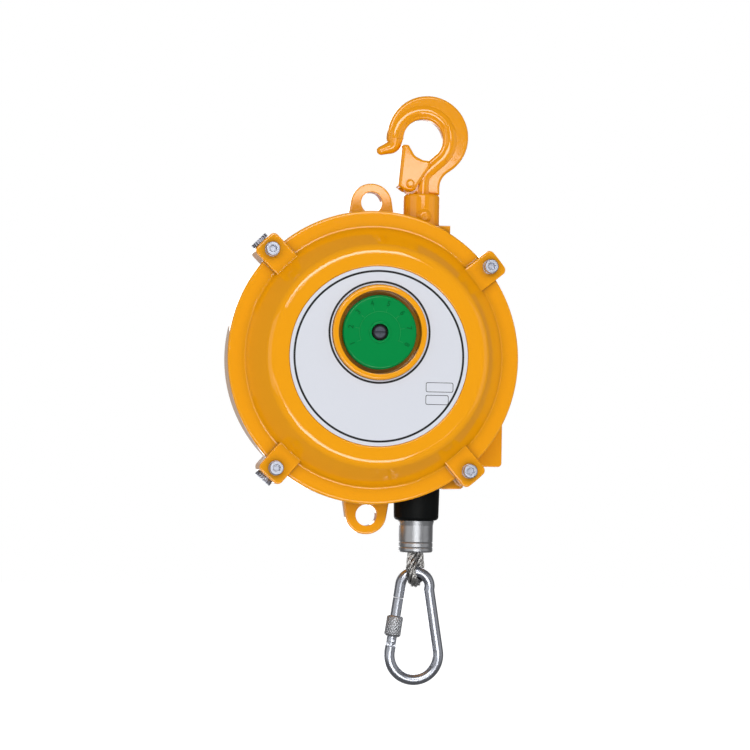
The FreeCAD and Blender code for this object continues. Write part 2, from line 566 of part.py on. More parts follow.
# ---- spring case, shaft and dial ----------------------------------------------------------
def spring_case():
    outer = SPRING_CASE_R
    cup = turned([(SHAFT_R, SPRING_CASE_REAR, 0), (outer, SPRING_CASE_REAR, 1.5),
                  (outer, SPRING_CASE_FRONT + 3, 0), (outer - 7, SPRING_CASE_FRONT + 3, 0),
                  (outer - 7, SPRING_CASE_REAR - 3.5, 2), (SHAFT_R, SPRING_CASE_REAR - 3.5, 0)])
    key_way = block(HOUSING_X - 3, HOUSING_X + 3, SPRING_CASE_REAR - 5, SPRING_CASE_REAR + 1,
                    SHAFT_Z + SHAFT_R - 2, SHAFT_Z + SHAFT_R + 2.5)
    anchor_slot = block(HOUSING_X + outer - 7.5, HOUSING_X + outer - 3.5, SPRING_CASE_FRONT + 2,
                        SPRING_CASE_REAR - 3.5, SHAFT_Z - 1, SHAFT_Z + 1)
    holes = [countersunk(x, z) for x, z in lid_screw_places()]
    return cup.cut(Part.makeCompound([key_way, anchor_slot] + holes))


def lid_screw_places():
    r = SPRING_CASE_R - 4
    angles = [math.radians(60 * k + 30) for k in range(6)]
    return [(HOUSING_X + r * math.cos(a), SHAFT_Z + r * math.sin(a)) for a in angles]


def countersunk(x, z):
    """Countersunk screw, its head flush with the front of the spring case's lid."""
    y = SPRING_CASE_FRONT
    return turned([(0, y, 0), (3.7, y, 0), (3.7, y + 0.3, 0), (1.9, y + 2.1, 0), (1.9, y + 10, 0),
                   (0, y + 10, 0)], x, z)


def spring_case_lid():
    lid = ring_y(SPRING_CASE_R, SPRING_HUB_R + 1.5, SPRING_CASE_FRONT, SPRING_CASE_FRONT + 3)
    return lid.cut(Part.makeCompound([countersunk(x, z) for x, z in lid_screw_places()]))


def lid_screws():
    y = SPRING_CASE_FRONT
    screws = []
    for x, z in lid_screw_places():
        slot = block(x - 4, x + 4, y - 1, y + 1, z - 0.5, z + 0.5)
        screws.append(countersunk(x, z).cut(slot))
    return Part.makeCompound(screws)


def tooth_points():
    """Half of one worm wheel tooth as (radius, half width), root to tip, after a 20 degree involute."""
    base_r = WHEEL_R * math.cos(math.radians(20))
    half_pitch = math.pi * MODULE / 4 - BACKLASH

    def involute(r):
        a = math.acos(base_r / r)
        return math.tan(a) - a

    points = []
    for r in (WHEEL_R - 3.7, WHEEL_R - 0.6, WHEEL_R + 2.6):
        width = r * (half_pitch / WHEEL_R + involute(WHEEL_R) - involute(r))
        points.append((r, width))
    return points


def tooth_section(y, twist):
    """Tooth outline at one face of the wheel, turned by twist about the shaft."""
    def place(r, s, side):
        a = side * s / r + twist
        return V(HOUSING_X + r * math.cos(a), y, SHAFT_Z + r * math.sin(a))
    half = tooth_points()
    root = (half[0][0] - 1.5, half[0][1])
    left = [place(root[0], root[1], -1)] + [place(r, s, -1) for r, s in half]
    right = [place(r, s, 1) for r, s in reversed(half)] + [place(root[0], root[1], 1)]
    points = left + right
    return Part.makePolygon(points + points[:1])


def worm_wheel():
    """Ring of teeth on the spring case, set over to the worm's lead angle."""
    y0, y1 = WORM_Y - WHEEL_W / 2, WORM_Y + WHEEL_W / 2
    lean = (WORM_PITCH / (2 * math.pi)) / WORM_R / WHEEL_R
    tooth = Part.makeLoft([tooth_section(y0, lean * WHEEL_W / 2), tooth_section(y1, -lean * WHEEL_W / 2)],
                          True, True)
    root = tooth_points()[0][0]
    blank = ring_y(root, SPRING_CASE_R, y0, y1)
    teeth = []
    for k in range(WHEEL_TEETH):
        copy = tooth.copy()
        copy.rotate(V(HOUSING_X, 0, SHAFT_Z), Y_AXIS, 360.0 * k / WHEEL_TEETH)
        teeth.append(copy)
    return union(blank, *teeth)


def centre_shaft():
    shaft = ycyl(SHAFT_R, DIAL_WELL_Y - 0.8, REAR_Y + 4.5)
    tang = ycyl(SHAFT_R, -50.2, DIAL_WELL_Y - 0.8).common(
        block(HOUSING_X - 6, HOUSING_X + 6, -52, -40, SHAFT_Z - 20, SHAFT_Z + 20))
    key_way = block(HOUSING_X - 3, HOUSING_X + 3, SPRING_CASE_REAR - 3.5, SPRING_CASE_REAR,
                    SHAFT_Z + SHAFT_R - 2.5, SHAFT_Z + SHAFT_R + 1)
    groove = ring_y(SHAFT_R + 1, SHAFT_R - 1, REAR_Y + 2.2, REAR_Y + 3.6)
    screw_hole = ycyl(3.0, -51, -36)
    return shaft.fuse(tang).cut(Part.makeCompound([key_way, groove, screw_hole]))


def shaft_key():
    return block(HOUSING_X - 3, HOUSING_X + 3, SPRING_CASE_REAR - 3.5, SPRING_CASE_REAR,
                 SHAFT_Z + SHAFT_R - 2.5, SHAFT_Z + SHAFT_R + 2.5)


def shaft_circlip():
    clip = ring_y(SHAFT_R + 2.2, SHAFT_R - 1, REAR_Y + 2.3, REAR_Y + 3.5)
    return clip.cut(block(HOUSING_X - 3, HOUSING_X + 3, REAR_Y, REAR_Y + 6, SHAFT_Z - 20, SHAFT_Z))


def main_spring():
    """Flat spiral spring from the drum's hub out to the spring case."""
    turns, r0, r1, t = 9, SPRING_HUB_R + 0.8, SPRING_CASE_R - 8.6, 1.0
    y0, y1 = SPRING_CASE_FRONT + 4, SPRING_CASE_REAR - 4.5
    centre = V(HOUSING_X, y0, SHAFT_Z)
    inner = coil(centre, Y_AXIS, r0, r1, 2 * turns, 0, X_AXIS)
    outer = coil(centre, Y_AXIS, r0 + t, r1 + t, 2 * turns, 0, X_AXIS)
    ends = [Part.LineSegment(centre + X_AXIS * r, centre + X_AXIS * (r + t)).toShape()
            for r in (r0, r1)]
    strip = Part.Face(wire(inner.Edges + outer.Edges + ends)).extrude(V(0, y1 - y0, 0))
    return strip


def tension_dial():
    hole_r = 6.4
    body = turned([(hole_r, DIAL_Y + 0.6, 0), (hole_r, DIAL_Y - 0.6, 0.3), (8.3, DIAL_Y - 0.6, 0.4),
                   (8.3, DIAL_Y, 0), (DIAL_R, DIAL_Y, 1.8), (DIAL_R, DIAL_Y + DIAL_T, 0.5),
                   (0, DIAL_Y + DIAL_T, 0), (0, -51.4, 0), (hole_r, -51.4, 0)])
    tang = ycyl(SHAFT_R + 0.05, -50.2, -48).common(
        block(HOUSING_X - 6.05, HOUSING_X + 6.05, -52, -40, SHAFT_Z - 20, SHAFT_Z + 20))
    return body.cut(tang).cut(ycyl(3.0, -53, -49))


def dial_screw():
    head = ycyl(5.9, -54.6, -51.4)
    head = head.makeFillet(0.7, [e for e in head.Edges if abs(e.BoundBox.YMax + 54.6) < 0.01])
    slot = block(HOUSING_X - 7, HOUSING_X + 7, -55, -53.2, SHAFT_Z - 0.8, SHAFT_Z + 0.8)
    return head.fuse(ycyl(3.0, -51.4, -38)).cut(slot)


# ---- worm ---------------------------------------------------------------------------------
def worm_thread(root):
    """Right-hand thread whose crests, on the wheel's side, stand half a pitch off the shaft's level."""
    tip = WORM_R + 2.6
    half = math.pi * MODULE / 4 - BACKLASH
    flank = math.tan(math.radians(20))
    profile = [V(r, 0, side * (half - (r - WORM_R) * flank))
               for side, r in ((-1, root), (-1, tip), (1, tip), (1, root))]
    helix = Part.makeHelix(WORM_PITCH, WORM_TURNS * WORM_PITCH, WORM_R)
    section = Part.makePolygon(profile + profile[:1])
    thread = Part.Wire(helix.Edges).makePipeShell([section], True, True)
    thread.rotate(V(0, 0, 0), Z_AXIS, 180)
    thread.translate(V(WORM_X, WORM_Y, SHAFT_Z - WORM_TURNS / 2 * WORM_PITCH))
    return thread


def worm_shaft():
    """Worm, its two journals and the hexagonal end that a spanner turns."""
    root = WORM_R - 3.6
    low, high = SHAFT_Z - WORM_LENGTH / 2, SHAFT_Z + WORM_LENGTH / 2
    plug_top = WORM_BOX_BOTTOM + WORM_PLUG_L
    core = turned_z([(0, WORM_BOX_TOP - 5, 0), (6.0, WORM_BOX_TOP - 5, 0.6), (6.0, high + 1.2, 0),
                     (8.5, high + 1.2, 0), (8.5, high, 0), (root, high - 1.5, 0), (root, low + 1.5, 0),
                     (8.5, low, 0), (8.5, plug_top + 0.3, 0), (7.0, plug_top + 0.3, 0),
                     (7.0, WORM_BOX_BOTTOM - 1.0, 0), (0, WORM_BOX_BOTTOM - 1.0, 0)], WORM_X, WORM_Y)
    drive = hexagon(12.0, 7.3, V(WORM_X, WORM_Y, WORM_BOX_BOTTOM - 7.8), Z_AXIS)
    return core.multiFuse([worm_thread(root - 0.4), drive])


# ---- rope end -----------------------------------------------------------------------------
def rubber_bumper():
    return turned_z([(ROPE_R + 0.3, OUTLET_Z - 0.3, 0), (BUMPER_R, OUTLET_Z - 0.3, 2.0),
                     (BUMPER_R - 0.6, BUMPER_BOTTOM, 3.0), (ROPE_R + 0.3, BUMPER_BOTTOM, 0)])


def ferrule():
    body = turned_z([(0, BUMPER_BOTTOM, 0), (FERRULE_R + 0.9, BUMPER_BOTTOM, 0.6),
                     (FERRULE_R, BUMPER_BOTTOM - 4, 1.5), (FERRULE_R, BUMPER_BOTTOM - 16.4, 0),
                     (FERRULE_R - 0.35, BUMPER_BOTTOM - 17.0, 0), (FERRULE_R, BUMPER_BOTTOM - 17.6, 0),
                     (FERRULE_R, BUMPER_BOTTOM - 20.2, 0), (FERRULE_R - 0.35, BUMPER_BOTTOM - 20.8, 0),
                     (FERRULE_R, BUMPER_BOTTOM - 21.4, 0),
                     (FERRULE_R, FERRULE_BOTTOM, 1.4), (0, FERRULE_BOTTOM, 0)])
    legs = [Part.makeCylinder(ROPE_R, 14, loop_point(side * (ROPE_R + 0.6), FERRULE_BOTTOM - 1), Z_AXIS)
            for side in (-1, 1)]
    live = zcyl(ROPE_R, -320.4, BUMPER_BOTTOM + 1)
    return body.cut(Part.makeCompound(legs + [live]))


def loop_point(u, z):
    a = math.radians(LOOP_TURN)
    return V(u * math.cos(a), u * math.sin(a), z)


def rope_loop():
    leg = ROPE_R + 0.6
    points = [(-leg, -321.6, 0), (-leg, -338.6, 14), (-LOOP_HALF, -347.0, 12),
              (-LOOP_HALF, LOOP_BOTTOM, LOOP_HALF - 0.05), (LOOP_HALF, LOOP_BOTTOM, LOOP_HALF - 0.05),
              (LOOP_HALF, -347.0, 12), (leg, -338.6, 14), (leg, -321.6, 0)]
    edges = corners([(loop_point(u, z), r) for u, z, r in points], closed=False)
    return tube(wire(edges), ROPE_R)


def rope_span():
    return zcyl(ROPE_R, -320.4, SHAFT_Z)


# ---- carabiner ----------------------------------------------------------------------------
def carabiner_geometry():
    """Bend centres, and the point and direction of the gate side, which runs down from the top bend."""
    top = V(0, 0, CARABINER_TOP - CARABINER_TOP_R - BAR_R)
    low = V(0, 0, CARABINER_TOP - CARABINER_H + CARABINER_LOW_R + BAR_R)
    lean = math.asin((CARABINER_LOW_R - CARABINER_TOP_R) / (top.z - low.z))
    side = V(-math.cos(lean), 0, math.sin(lean))
    down = V(-math.sin(lean), 0, -math.cos(lean))
    return top, low, side, down


def on_gate(s):
    top, _, side, down = carabiner_geometry()
    return top + side * CARABINER_TOP_R + down * s


def gate_lean():
    """Degrees that the gate leans from upright."""
    down = carabiner_geometry()[3]
    return math.degrees(math.asin(-down.x))


def carabiner_body():
    top, low, side, down = carabiner_geometry()
    left_low = low + side * CARABINER_LOW_R
    knee = polar(top, CARABINER_TOP_R, CARABINER_KNEE)
    reach = knee - low
    tangent = math.atan2(reach.z, reach.x) - math.acos(CARABINER_LOW_R / reach.Length)
    right_low = polar(low, CARABINER_LOW_R, math.degrees(tangent))
    lower = [
        Part.LineSegment(on_gate(GATE_PIN_S + 4.6), left_low).toShape(),
        Part.Arc(left_low, low - Z_AXIS * CARABINER_LOW_R, right_low).toShape(),
        Part.LineSegment(right_low, knee).toShape(),
    ]
    upper = [
        Part.Arc(knee, top + Z_AXIS * CARABINER_TOP_R, on_gate(0)).toShape(),
        Part.LineSegment(on_gate(0), on_gate(GATE_TOP_S - 0.4)).toShape(),
    ]
    bar = union(tube(Part.Wire(lower), BAR_R), tube(Part.Wire(upper), BAR_R), Part.makeSphere(BAR_R, knee))
    pin = on_gate(GATE_PIN_S)
    cheek = ycyl(3.5, -1.7, 1.7, pin.x, pin.z)
    tongue = Part.makeBox(7.0, 3.4, 6.2, V(-3.5, -1.7, -6.2))
    tongue.rotate(V(0, 0, 0), Y_AXIS, gate_lean())
    tongue.translate(pin)
    return union(bar, cheek, tongue).cut(ycyl(1.5, -5, 5, pin.x, pin.z))


def carabiner_gate():
    down = carabiner_geometry()[3]
    pin = on_gate(GATE_PIN_S)
    rod = Part.makeCylinder(BAR_R - 0.1, GATE_PIN_S + 6 - GATE_TOP_S, on_gate(GATE_TOP_S), down)
    above_pin = Part.makeBox(12.0, 12.0, 40.0, V(-6.0, -6.0, 0))
    slot = Part.makeBox(12.0, 3.8, 16.0, V(-6.0, -1.9, -8.0))
    for tool in (above_pin, slot):
        tool.rotate(V(0, 0, 0), Y_AXIS, gate_lean())
        tool.translate(pin)
    rod = rod.common(above_pin.fuse(ycyl(BAR_R - 0.2, -6, 6, pin.x, pin.z)))
    return rod.cut(slot).cut(ycyl(1.5 + 0.03, -5, 5, pin.x, pin.z))


def gate_pin():
    pin = on_gate(GATE_PIN_S)
    return ycyl(1.5, -4.4, 4.4, pin.x, pin.z)


def gate_sleeve():
    down = carabiner_geometry()[3]
    start = on_gate(SLEEVE_TOP_S)
    body = Part.makeCylinder(SLEEVE_R, SLEEVE_L, start, down)
    ends = [e for e in body.Edges if e.BoundBox.YLength > 10 and e.Length < 50]
    body = body.makeChamfer(0.9, ends)
    bore = Part.makeCylinder(BAR_R + 0.15, SLEEVE_L + 2, start - down, down)
    return body.cut(bore)


# ---- build --------------------------------------------------------------------------------
NODES = {
    "rear_case": rear_case, "front_cover": front_cover, "cover_screws": cover_screws,
    "cover_washers": cover_washers, "side_plugs": side_plugs, "face_label": face_label,
    "rope_guide_bush": rope_guide_bush, "front_bearing": front_bearing,
    "rear_bearing": rear_bearing, "worm_upper_bush": worm_upper_bush,
    "worm_lower_bush": worm_lower_bush, "worm_end_plug": worm_end_plug,
    "swivel_bush": swivel_bush,
    "lifting_hook": lifting_hook, "hook_socket": hook_socket, "cross_pin": cross_pin,
    "latch_pin": latch_pin, "thrust_washer": thrust_washer, "swivel_nut": swivel_nut,
    "split_pin": split_pin, "hook_latch": hook_latch, "latch_spring": latch_spring,
    "rope_drum": rope_drum, "drum_bushes": drum_bushes, "wound_rope": wound_rope,
    "spring_case": spring_case, "spring_case_lid": spring_case_lid, "lid_screws": lid_screws,
    "worm_wheel": worm_wheel, "centre_shaft": centre_shaft, "shaft_key": shaft_key,
    "shaft_circlip": shaft_circlip, "main_spring": main_spring, "tension_dial": tension_dial,
    "dial_screw": dial_screw, "worm_shaft": worm_shaft,
    "rubber_bumper": rubber_bumper, "rope_ferrule": ferrule, "rope_loop": rope_loop,
    "rope_span": rope_span,
    "carabiner_body": carabiner_body, "gate_pin": gate_pin, "carabiner_gate": carabiner_gate,
    "gate_sleeve": gate_sleeve,
}


def main():
    os.makedirs("parts", exist_ok=True)
    for name, make in NODES.items():
        shape = make()
        if not shape.isValid():
            print("not valid:", name)
        print(f"{name:18s} solids {len(shape.Solids):2d} faces {len(shape.Faces):4d} "
              f"volume {shape.Volume / 1000:9.2f} cm3")
        shape.exportStep(f"parts/{name}.step")


main()
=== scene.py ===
"""Finishes, fine pieces and studio for a hanging tool balancer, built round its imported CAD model.

Each group of pieces has its operator, and the sidebar panel lists them with the sizes and colours
that can be changed. Lengths are in metres, and the origin is where the load hangs in the top hook.
"""
import json
import math

import bmesh
import bpy
from mathutils import Matrix, Vector


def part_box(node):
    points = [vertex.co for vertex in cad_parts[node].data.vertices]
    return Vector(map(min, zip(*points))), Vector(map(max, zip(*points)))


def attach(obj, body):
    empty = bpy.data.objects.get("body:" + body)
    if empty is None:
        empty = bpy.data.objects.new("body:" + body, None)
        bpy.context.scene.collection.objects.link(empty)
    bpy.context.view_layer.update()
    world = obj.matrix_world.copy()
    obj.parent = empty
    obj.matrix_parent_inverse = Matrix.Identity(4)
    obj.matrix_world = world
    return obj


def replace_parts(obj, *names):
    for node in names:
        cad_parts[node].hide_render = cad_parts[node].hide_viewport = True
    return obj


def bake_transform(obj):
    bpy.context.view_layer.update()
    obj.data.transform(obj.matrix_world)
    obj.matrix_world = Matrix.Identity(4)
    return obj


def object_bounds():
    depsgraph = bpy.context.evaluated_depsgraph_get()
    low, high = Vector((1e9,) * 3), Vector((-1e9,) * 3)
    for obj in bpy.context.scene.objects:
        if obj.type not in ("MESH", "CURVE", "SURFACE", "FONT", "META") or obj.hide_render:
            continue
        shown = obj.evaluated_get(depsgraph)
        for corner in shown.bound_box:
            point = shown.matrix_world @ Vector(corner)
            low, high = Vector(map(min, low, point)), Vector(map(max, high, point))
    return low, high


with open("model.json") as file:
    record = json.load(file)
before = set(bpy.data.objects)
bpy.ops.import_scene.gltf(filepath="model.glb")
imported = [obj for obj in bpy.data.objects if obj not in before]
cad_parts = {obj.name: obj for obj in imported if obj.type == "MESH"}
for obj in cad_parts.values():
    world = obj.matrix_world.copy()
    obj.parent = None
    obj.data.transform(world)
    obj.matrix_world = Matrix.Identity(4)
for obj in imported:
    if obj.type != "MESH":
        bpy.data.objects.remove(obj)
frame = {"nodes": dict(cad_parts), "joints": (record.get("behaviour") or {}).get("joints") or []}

bl_info = {
    "name": "Tool balancer finish",
    "version": (1, 0, 0),
    "blender": (4, 5, 0),
    "location": "View3D > Sidebar > Balancer",
    "description": "Dresses a hanging tool balancer and lights it in a plain studio",
    "category": "Object",
}

MM = 0.001


# ---- measures taken from the frame --------------------------------------------------------
def centre(node):
    """Middle of a CAD node's box."""
    low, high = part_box(node)
    return (low + high) / 2


def span(node):
    """Size of a CAD node's box along X, Y and Z."""
    low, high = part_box(node)
    return high - low


def joint(name):
    """A joint's row in the frame."""
    return next(j for j in frame["joints"] if j["name"] == name)


def linear(hex_colour):
    """Linear red, green and blue of an sRGB colour written as #RRGGBB."""
    parts = [int(hex_colour[i:i + 2], 16) / 255 for i in (1, 3, 5)]
    return tuple(c / 12.92 if c <= 0.04045 else ((c + 0.055) / 1.055) ** 2.4 for c in parts)


def rgba(colour, shade=1.0):
    """Opaque colour from #RRGGBB or from linear red, green and blue, times a shade."""
    parts = linear(colour) if isinstance(colour, str) else colour[:3]
    return (*(c * shade for c in parts), 1.0)


CAD_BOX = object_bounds()
DIAL = centre("tension_dial")
HUB_LIP = 0.6 * MM                           # ring round the dial's screw, in front of its face
DIAL_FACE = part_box("tension_dial")[0].y + HUB_LIP
LABEL = centre("face_label")
LABEL_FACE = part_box("face_label")[0].y
FERRULE_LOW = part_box("rope_ferrule")[0]
BUMPER_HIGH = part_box("rubber_bumper")[1]
LOOP_LOW, LOOP_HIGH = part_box("rope_loop")
SPAN_LOW, SPAN_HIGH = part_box("rope_span")
ROPE_RADIUS = span("rope_span").x / 2
SLEEVE_AXIS = Vector(joint("sleeve_travel")["axis"]).normalized()
SLEEVE_RADIUS = span("gate_sleeve").y / 2
SLEEVE_LENGTH = ((span("gate_sleeve").z - 2 * SLEEVE_RADIUS * abs(SLEEVE_AXIS.x))
                 / abs(SLEEVE_AXIS.z))


# ---- small tools --------------------------------------------------------------------------
def node(tree, kind, links=None, **settings):
    """Adds a node with its settings. An input given a socket is linked, and else it is set."""
    made = tree.nodes.new(kind)
    for name, value in settings.items():
        setattr(made, name, value)
    for name, value in (links or {}).items():
        if isinstance(value, bpy.types.NodeSocket):
            tree.links.new(value, made.inputs[name])
        else:
            made.inputs[name].default_value = value
    return made


def surface(name, grains=(), **inputs):
    """A material with one Principled BSDF. Gives material, tree, shader, object coordinates and,
    for each (grain size, detail), a noise from 0 to 1 whose grains are about that size across."""
    material = bpy.data.materials.new(name)
    material.use_nodes = True
    tree = material.node_tree
    tree.nodes.clear()
    shader = node(tree, "ShaderNodeBsdfPrincipled")
    for socket, value in inputs.items():
        shader.inputs[socket.replace("_", " ")].default_value = value
    node(tree, "ShaderNodeOutputMaterial", {"Surface": shader.outputs[0]})
    place = node(tree, "ShaderNodeTexCoord").outputs["Object"]
    noises = [node(tree, "ShaderNodeTexNoise", {
        "Vector": place, "Scale": 1 / size, "Detail": detail}).outputs[0]
        for size, detail in grains]
    return material, tree, shader, place, noises


def dress(tree, shader, tint=None, rough=None, raised=(), dust_and_shade=None):
    """Links a finish's patterns to its shader. Each pattern is driven by a share from 0 to 1.

    tint is (share, colour at 0, colour at 1) and rough (share, roughness at 0, roughness at 1).
    raised lists (input, share, height in metres, strength, normal underneath), where the normal
    may be the name of an input before it. The last argument is the (colour, reach) of painted
    shade: corners narrower than reach turn to that colour."""
    if tint:
        share, first, second = tint
        colour = node(tree, "ShaderNodeMix", {0: share, 6: first, 7: second},
                      data_type="RGBA").outputs[2]
        # painted shade: an ambient occlusion darkens corners and grooves narrower than the reach to
        # the given colour
        if dust_and_shade:
            deep, reach = dust_and_shade
            open_share = node(tree, "ShaderNodeAmbientOcclusion", {"Distance": reach}, samples=8)
            colour = node(tree, "ShaderNodeMix", {0: open_share.outputs["AO"], 6: deep, 7: colour},
                          data_type="RGBA").outputs[2]
        tree.links.new(colour, shader.inputs["Base Color"])
    if rough:
        share, low, high = rough
        spread = node(tree, "ShaderNodeMapRange", {"Value": share, "To Min": low, "To Max": high})
        tree.links.new(spread.outputs[0], shader.inputs["Roughness"])
    normals = {}
    for socket, share, height, strength, under in raised:
        links = {"Height": share, "Distance": height, "Strength": strength}
        if under is not None:
            links["Normal"] = normals[under] if isinstance(under, str) else under
        normals[socket] = node(tree, "ShaderNodeBump", links).outputs[0]
        tree.links.new(normals[socket], shader.inputs[socket])


def placed(name, data):
    """A new object for the data, in the scene."""
    thing = bpy.data.objects.new(name, data)
    bpy.context.scene.collection.objects.link(thing)
    return thing


def paint_nodes(material, *names):
    """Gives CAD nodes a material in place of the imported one."""
    for name in names:
        mesh = frame["nodes"][name].data
        mesh.materials.clear()
        mesh.materials.append(material)


def new_piece(name, mesh, body, material=None):
    """A finished mesh as a piece that rides on a body and takes its finish from a slot."""
    mesh.name = name
    piece = placed(name, mesh)
    if material is not None:
        mesh.materials.clear()
        mesh.materials.append(material)
    if body:
        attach(piece, body)
    return piece


def evaluated_mesh(maker):
    """Plain mesh of an object with its modifiers applied. The object is removed."""
    bpy.context.view_layer.update()
    graph = bpy.context.evaluated_depsgraph_get()
    mesh = bpy.data.meshes.new_from_object(maker.evaluated_get(graph), depsgraph=graph)
    bpy.data.objects.remove(maker)
    return mesh


def grown(name, tree, data, values):
    """Mesh that a geometry tree makes from an object's data, with its named inputs set."""
    maker = placed(name, data)
    modifier = maker.modifiers.new(name, "NODES")
    modifier.node_group = tree
    for item in tree.interface.items_tree:
        if item.item_type == "SOCKET" and item.in_out == "INPUT" and item.name in values:
            modifier[item.identifier] = values[item.name]
    return evaluated_mesh(maker)


def geometry_tree(name, inputs):
    """Empty geometry tree with a Geometry input and output and the named inputs."""
    tree = bpy.data.node_groups.new(name, "GeometryNodeTree")
    tree.interface.new_socket("Geometry", in_out="OUTPUT", socket_type="NodeSocketGeometry")
    tree.interface.new_socket("Geometry", in_out="INPUT", socket_type="NodeSocketGeometry")
    for label, kind in inputs.items():
        tree.interface.new_socket(label, in_out="INPUT", socket_type=kind)
    given = node(tree, "NodeGroupInput").outputs
    return tree, given


def end_tree(tree, geometry, finish):
    """Ends a tree by making its instances real and giving the result its material."""
    real = node(tree, "GeometryNodeRealizeInstances", {0: geometry}).outputs[0]
    dressed = node(tree, "GeometryNodeSetMaterial", {"Geometry": real, "Material": finish})
    node(tree, "NodeGroupOutput", {0: dressed.outputs[0]})


def lathe(profile, steps=48):
    """Closed mesh turned about +Z from (radius, z) points, from axis to axis or in a ring."""
    mesh = bpy.data.meshes.new("turned")
    build = bmesh.new()
    closed = profile[0] != profile[-1] and profile[0][0] > 0
    points = profile + profile[:1] if closed else profile
    verts = [build.verts.new((r, 0, z)) for r, z in points]
    edges = [build.edges.new(pair) for pair in zip(verts, verts[1:])]
    bmesh.ops.spin(build, geom=verts + edges, cent=(0, 0, 0), axis=(0, 0, 1), angle=math.tau,
                   steps=steps, use_merge=True)
    bmesh.ops.remove_doubles(build, verts=build.verts, dist=1e-7)
    bmesh.ops.recalc_face_normals(build, faces=build.faces)
    for face in build.faces:
        face.smooth = True
    build.to_mesh(mesh)
    build.free()
    return mesh


# ---- what a user may change ---------------------------------------------------------------
def colour_property(name, description, hex_colour):
    return bpy.props.FloatVectorProperty(
        name=name, description=description, subtype="COLOR", size=3, min=0.0, max=1.0,
        default=linear(hex_colour))


def length_property(name, description, default):
    return bpy.props.FloatProperty(
        name=name, description=description, default=default, min=0.0, precision=5, unit="LENGTH",
        subtype="DISTANCE")


def angle_property(name, description, degrees):
    return bpy.props.FloatProperty(name=name, description=description,
                                   default=math.radians(degrees), subtype="ANGLE")


class BalancerPaint(bpy.types.PropertyGroup):
    """Colours of the castings, the forging, the plate and the dial."""
    coat: colour_property("Powder coat", "Colour of the die-cast housing", "#FFAA04")
    hook: colour_property("Hook paint", "Colour of the painted forging", "#FCA404")
    plate: colour_property("Face plate", "Colour of the printed plate round the dial", "#DEE1EA")
    ink: colour_property("Ink", "Colour of the plate's printed rings", "#08070A")
    dial: colour_property("Dial", "Colour of the moulded tension dial", "#008E45")
    grain: length_property("Coat grain", "Width of the powder coat's orange peel", 1.6 * MM)
    knurl_ribs: bpy.props.IntProperty(
        name="Knurl ribs", description="Ribs of each hand on the carabiner's locking sleeve",
        default=18, min=8)


class BalancerRope(bpy.types.PropertyGroup):
    """Make-up of the wire rope."""
    strands: bpy.props.IntProperty(
        name="Strands", description="Outer strands of the rope", default=6, min=3)
    wires: bpy.props.IntProperty(
        name="Wires", description="Outer wires of each strand", default=6, min=3)
    lay: length_property("Lay length", "Length of rope in which a strand goes once round", 36 * MM)


class BalancerStage(bpy.types.PropertyGroup):
    """Studio and camera."""
    backdrop: colour_property("Backdrop", "Colour of the floor and the backdrop", "#FFFFFF")
    drop: length_property("Floor drop", "Height of the hanging carabiner over the floor", 1.5)
    distance: length_property("Camera distance", "From the camera to the point it looks at", 2.0)
    azimuth: angle_property("Azimuth", "Camera's turn to the object's right", -8.6)
    elevation: angle_property("Elevation", "Camera's height over the horizon", -1.7)
    roll: angle_property("Roll", "Camera's turn about its line of sight", 1.015)
    lens: bpy.props.FloatProperty(
        name="Lens", description="Focal length in millimetres", default=124.48, min=1.0)


# ---- finishes -----------------------------------------------------------------------------
def powder_coat(colour, grain):
    """Gloss powder coat on a die casting: even warm colour under a clear, nearly flat skin. The
    coat flows off edges, which look rounder than the casting, and its grooves and corners are
    painted dark as their shade."""
    material, tree, shader, _, (peel, cloud) = surface(
        "powder_coat", [(grain, 2.0), (45 * MM, 2.0)], IOR=1.5, Specular_IOR_Level=0.0,
        Coat_Weight=1.0, Coat_Roughness=0.05, Coat_IOR=1.76)
    edge = node(tree, "ShaderNodeBevel", {"Radius": 1.1 * MM}, samples=6).outputs[0]
    dress(tree, shader, tint=(cloud, rgba(colour, 0.965), rgba(colour)), rough=(cloud, 0.45, 0.55),
          raised=[("Normal", peel, 0.01 * MM, 0.4, edge),
                  ("Coat Normal", peel, 0.004 * MM, 0.4, edge)],
          # painted shade: grooves and corners darken to 0.15 of the coat's colour
          dust_and_shade=(rgba(colour, 0.15), 8 * MM))
    return material


def forging_enamel(colour):
    """Gloss enamel on a drop forging: the forging's uneven skin shows through a glossy film."""
    material, tree, shader, _, (skin, fine) = surface(
        "forging_enamel", [(6 * MM, 3.0), (0.9 * MM, 2.0)], IOR=1.5, Specular_IOR_Level=0.0,
        Coat_Weight=1.0, Coat_Roughness=0.07, Coat_IOR=1.76)
    dress(tree, shader, tint=(skin, rgba(colour, 0.94), rgba(colour)), rough=(fine, 0.4, 0.5),
          raised=[("Coat Normal", skin, 0.04 * MM, 0.5, None),
                  ("Normal", fine, 0.01 * MM, 0.4, "Coat Normal")])
    return material


def off_axis(tree, place, middle):
    """Distance from the line along Y through middle."""
    away = node(tree, "ShaderNodeVectorMath", {0: place, 1: tuple(middle)}, operation="SUBTRACT")
    flat = node(tree, "ShaderNodeVectorMath", {0: away.outputs[0], 1: (1, 0, 1)},
                operation="MULTIPLY")
    length = node(tree, "ShaderNodeVectorMath", {0: flat.outputs[0]}, operation="LENGTH")
    return length.outputs["Value"]


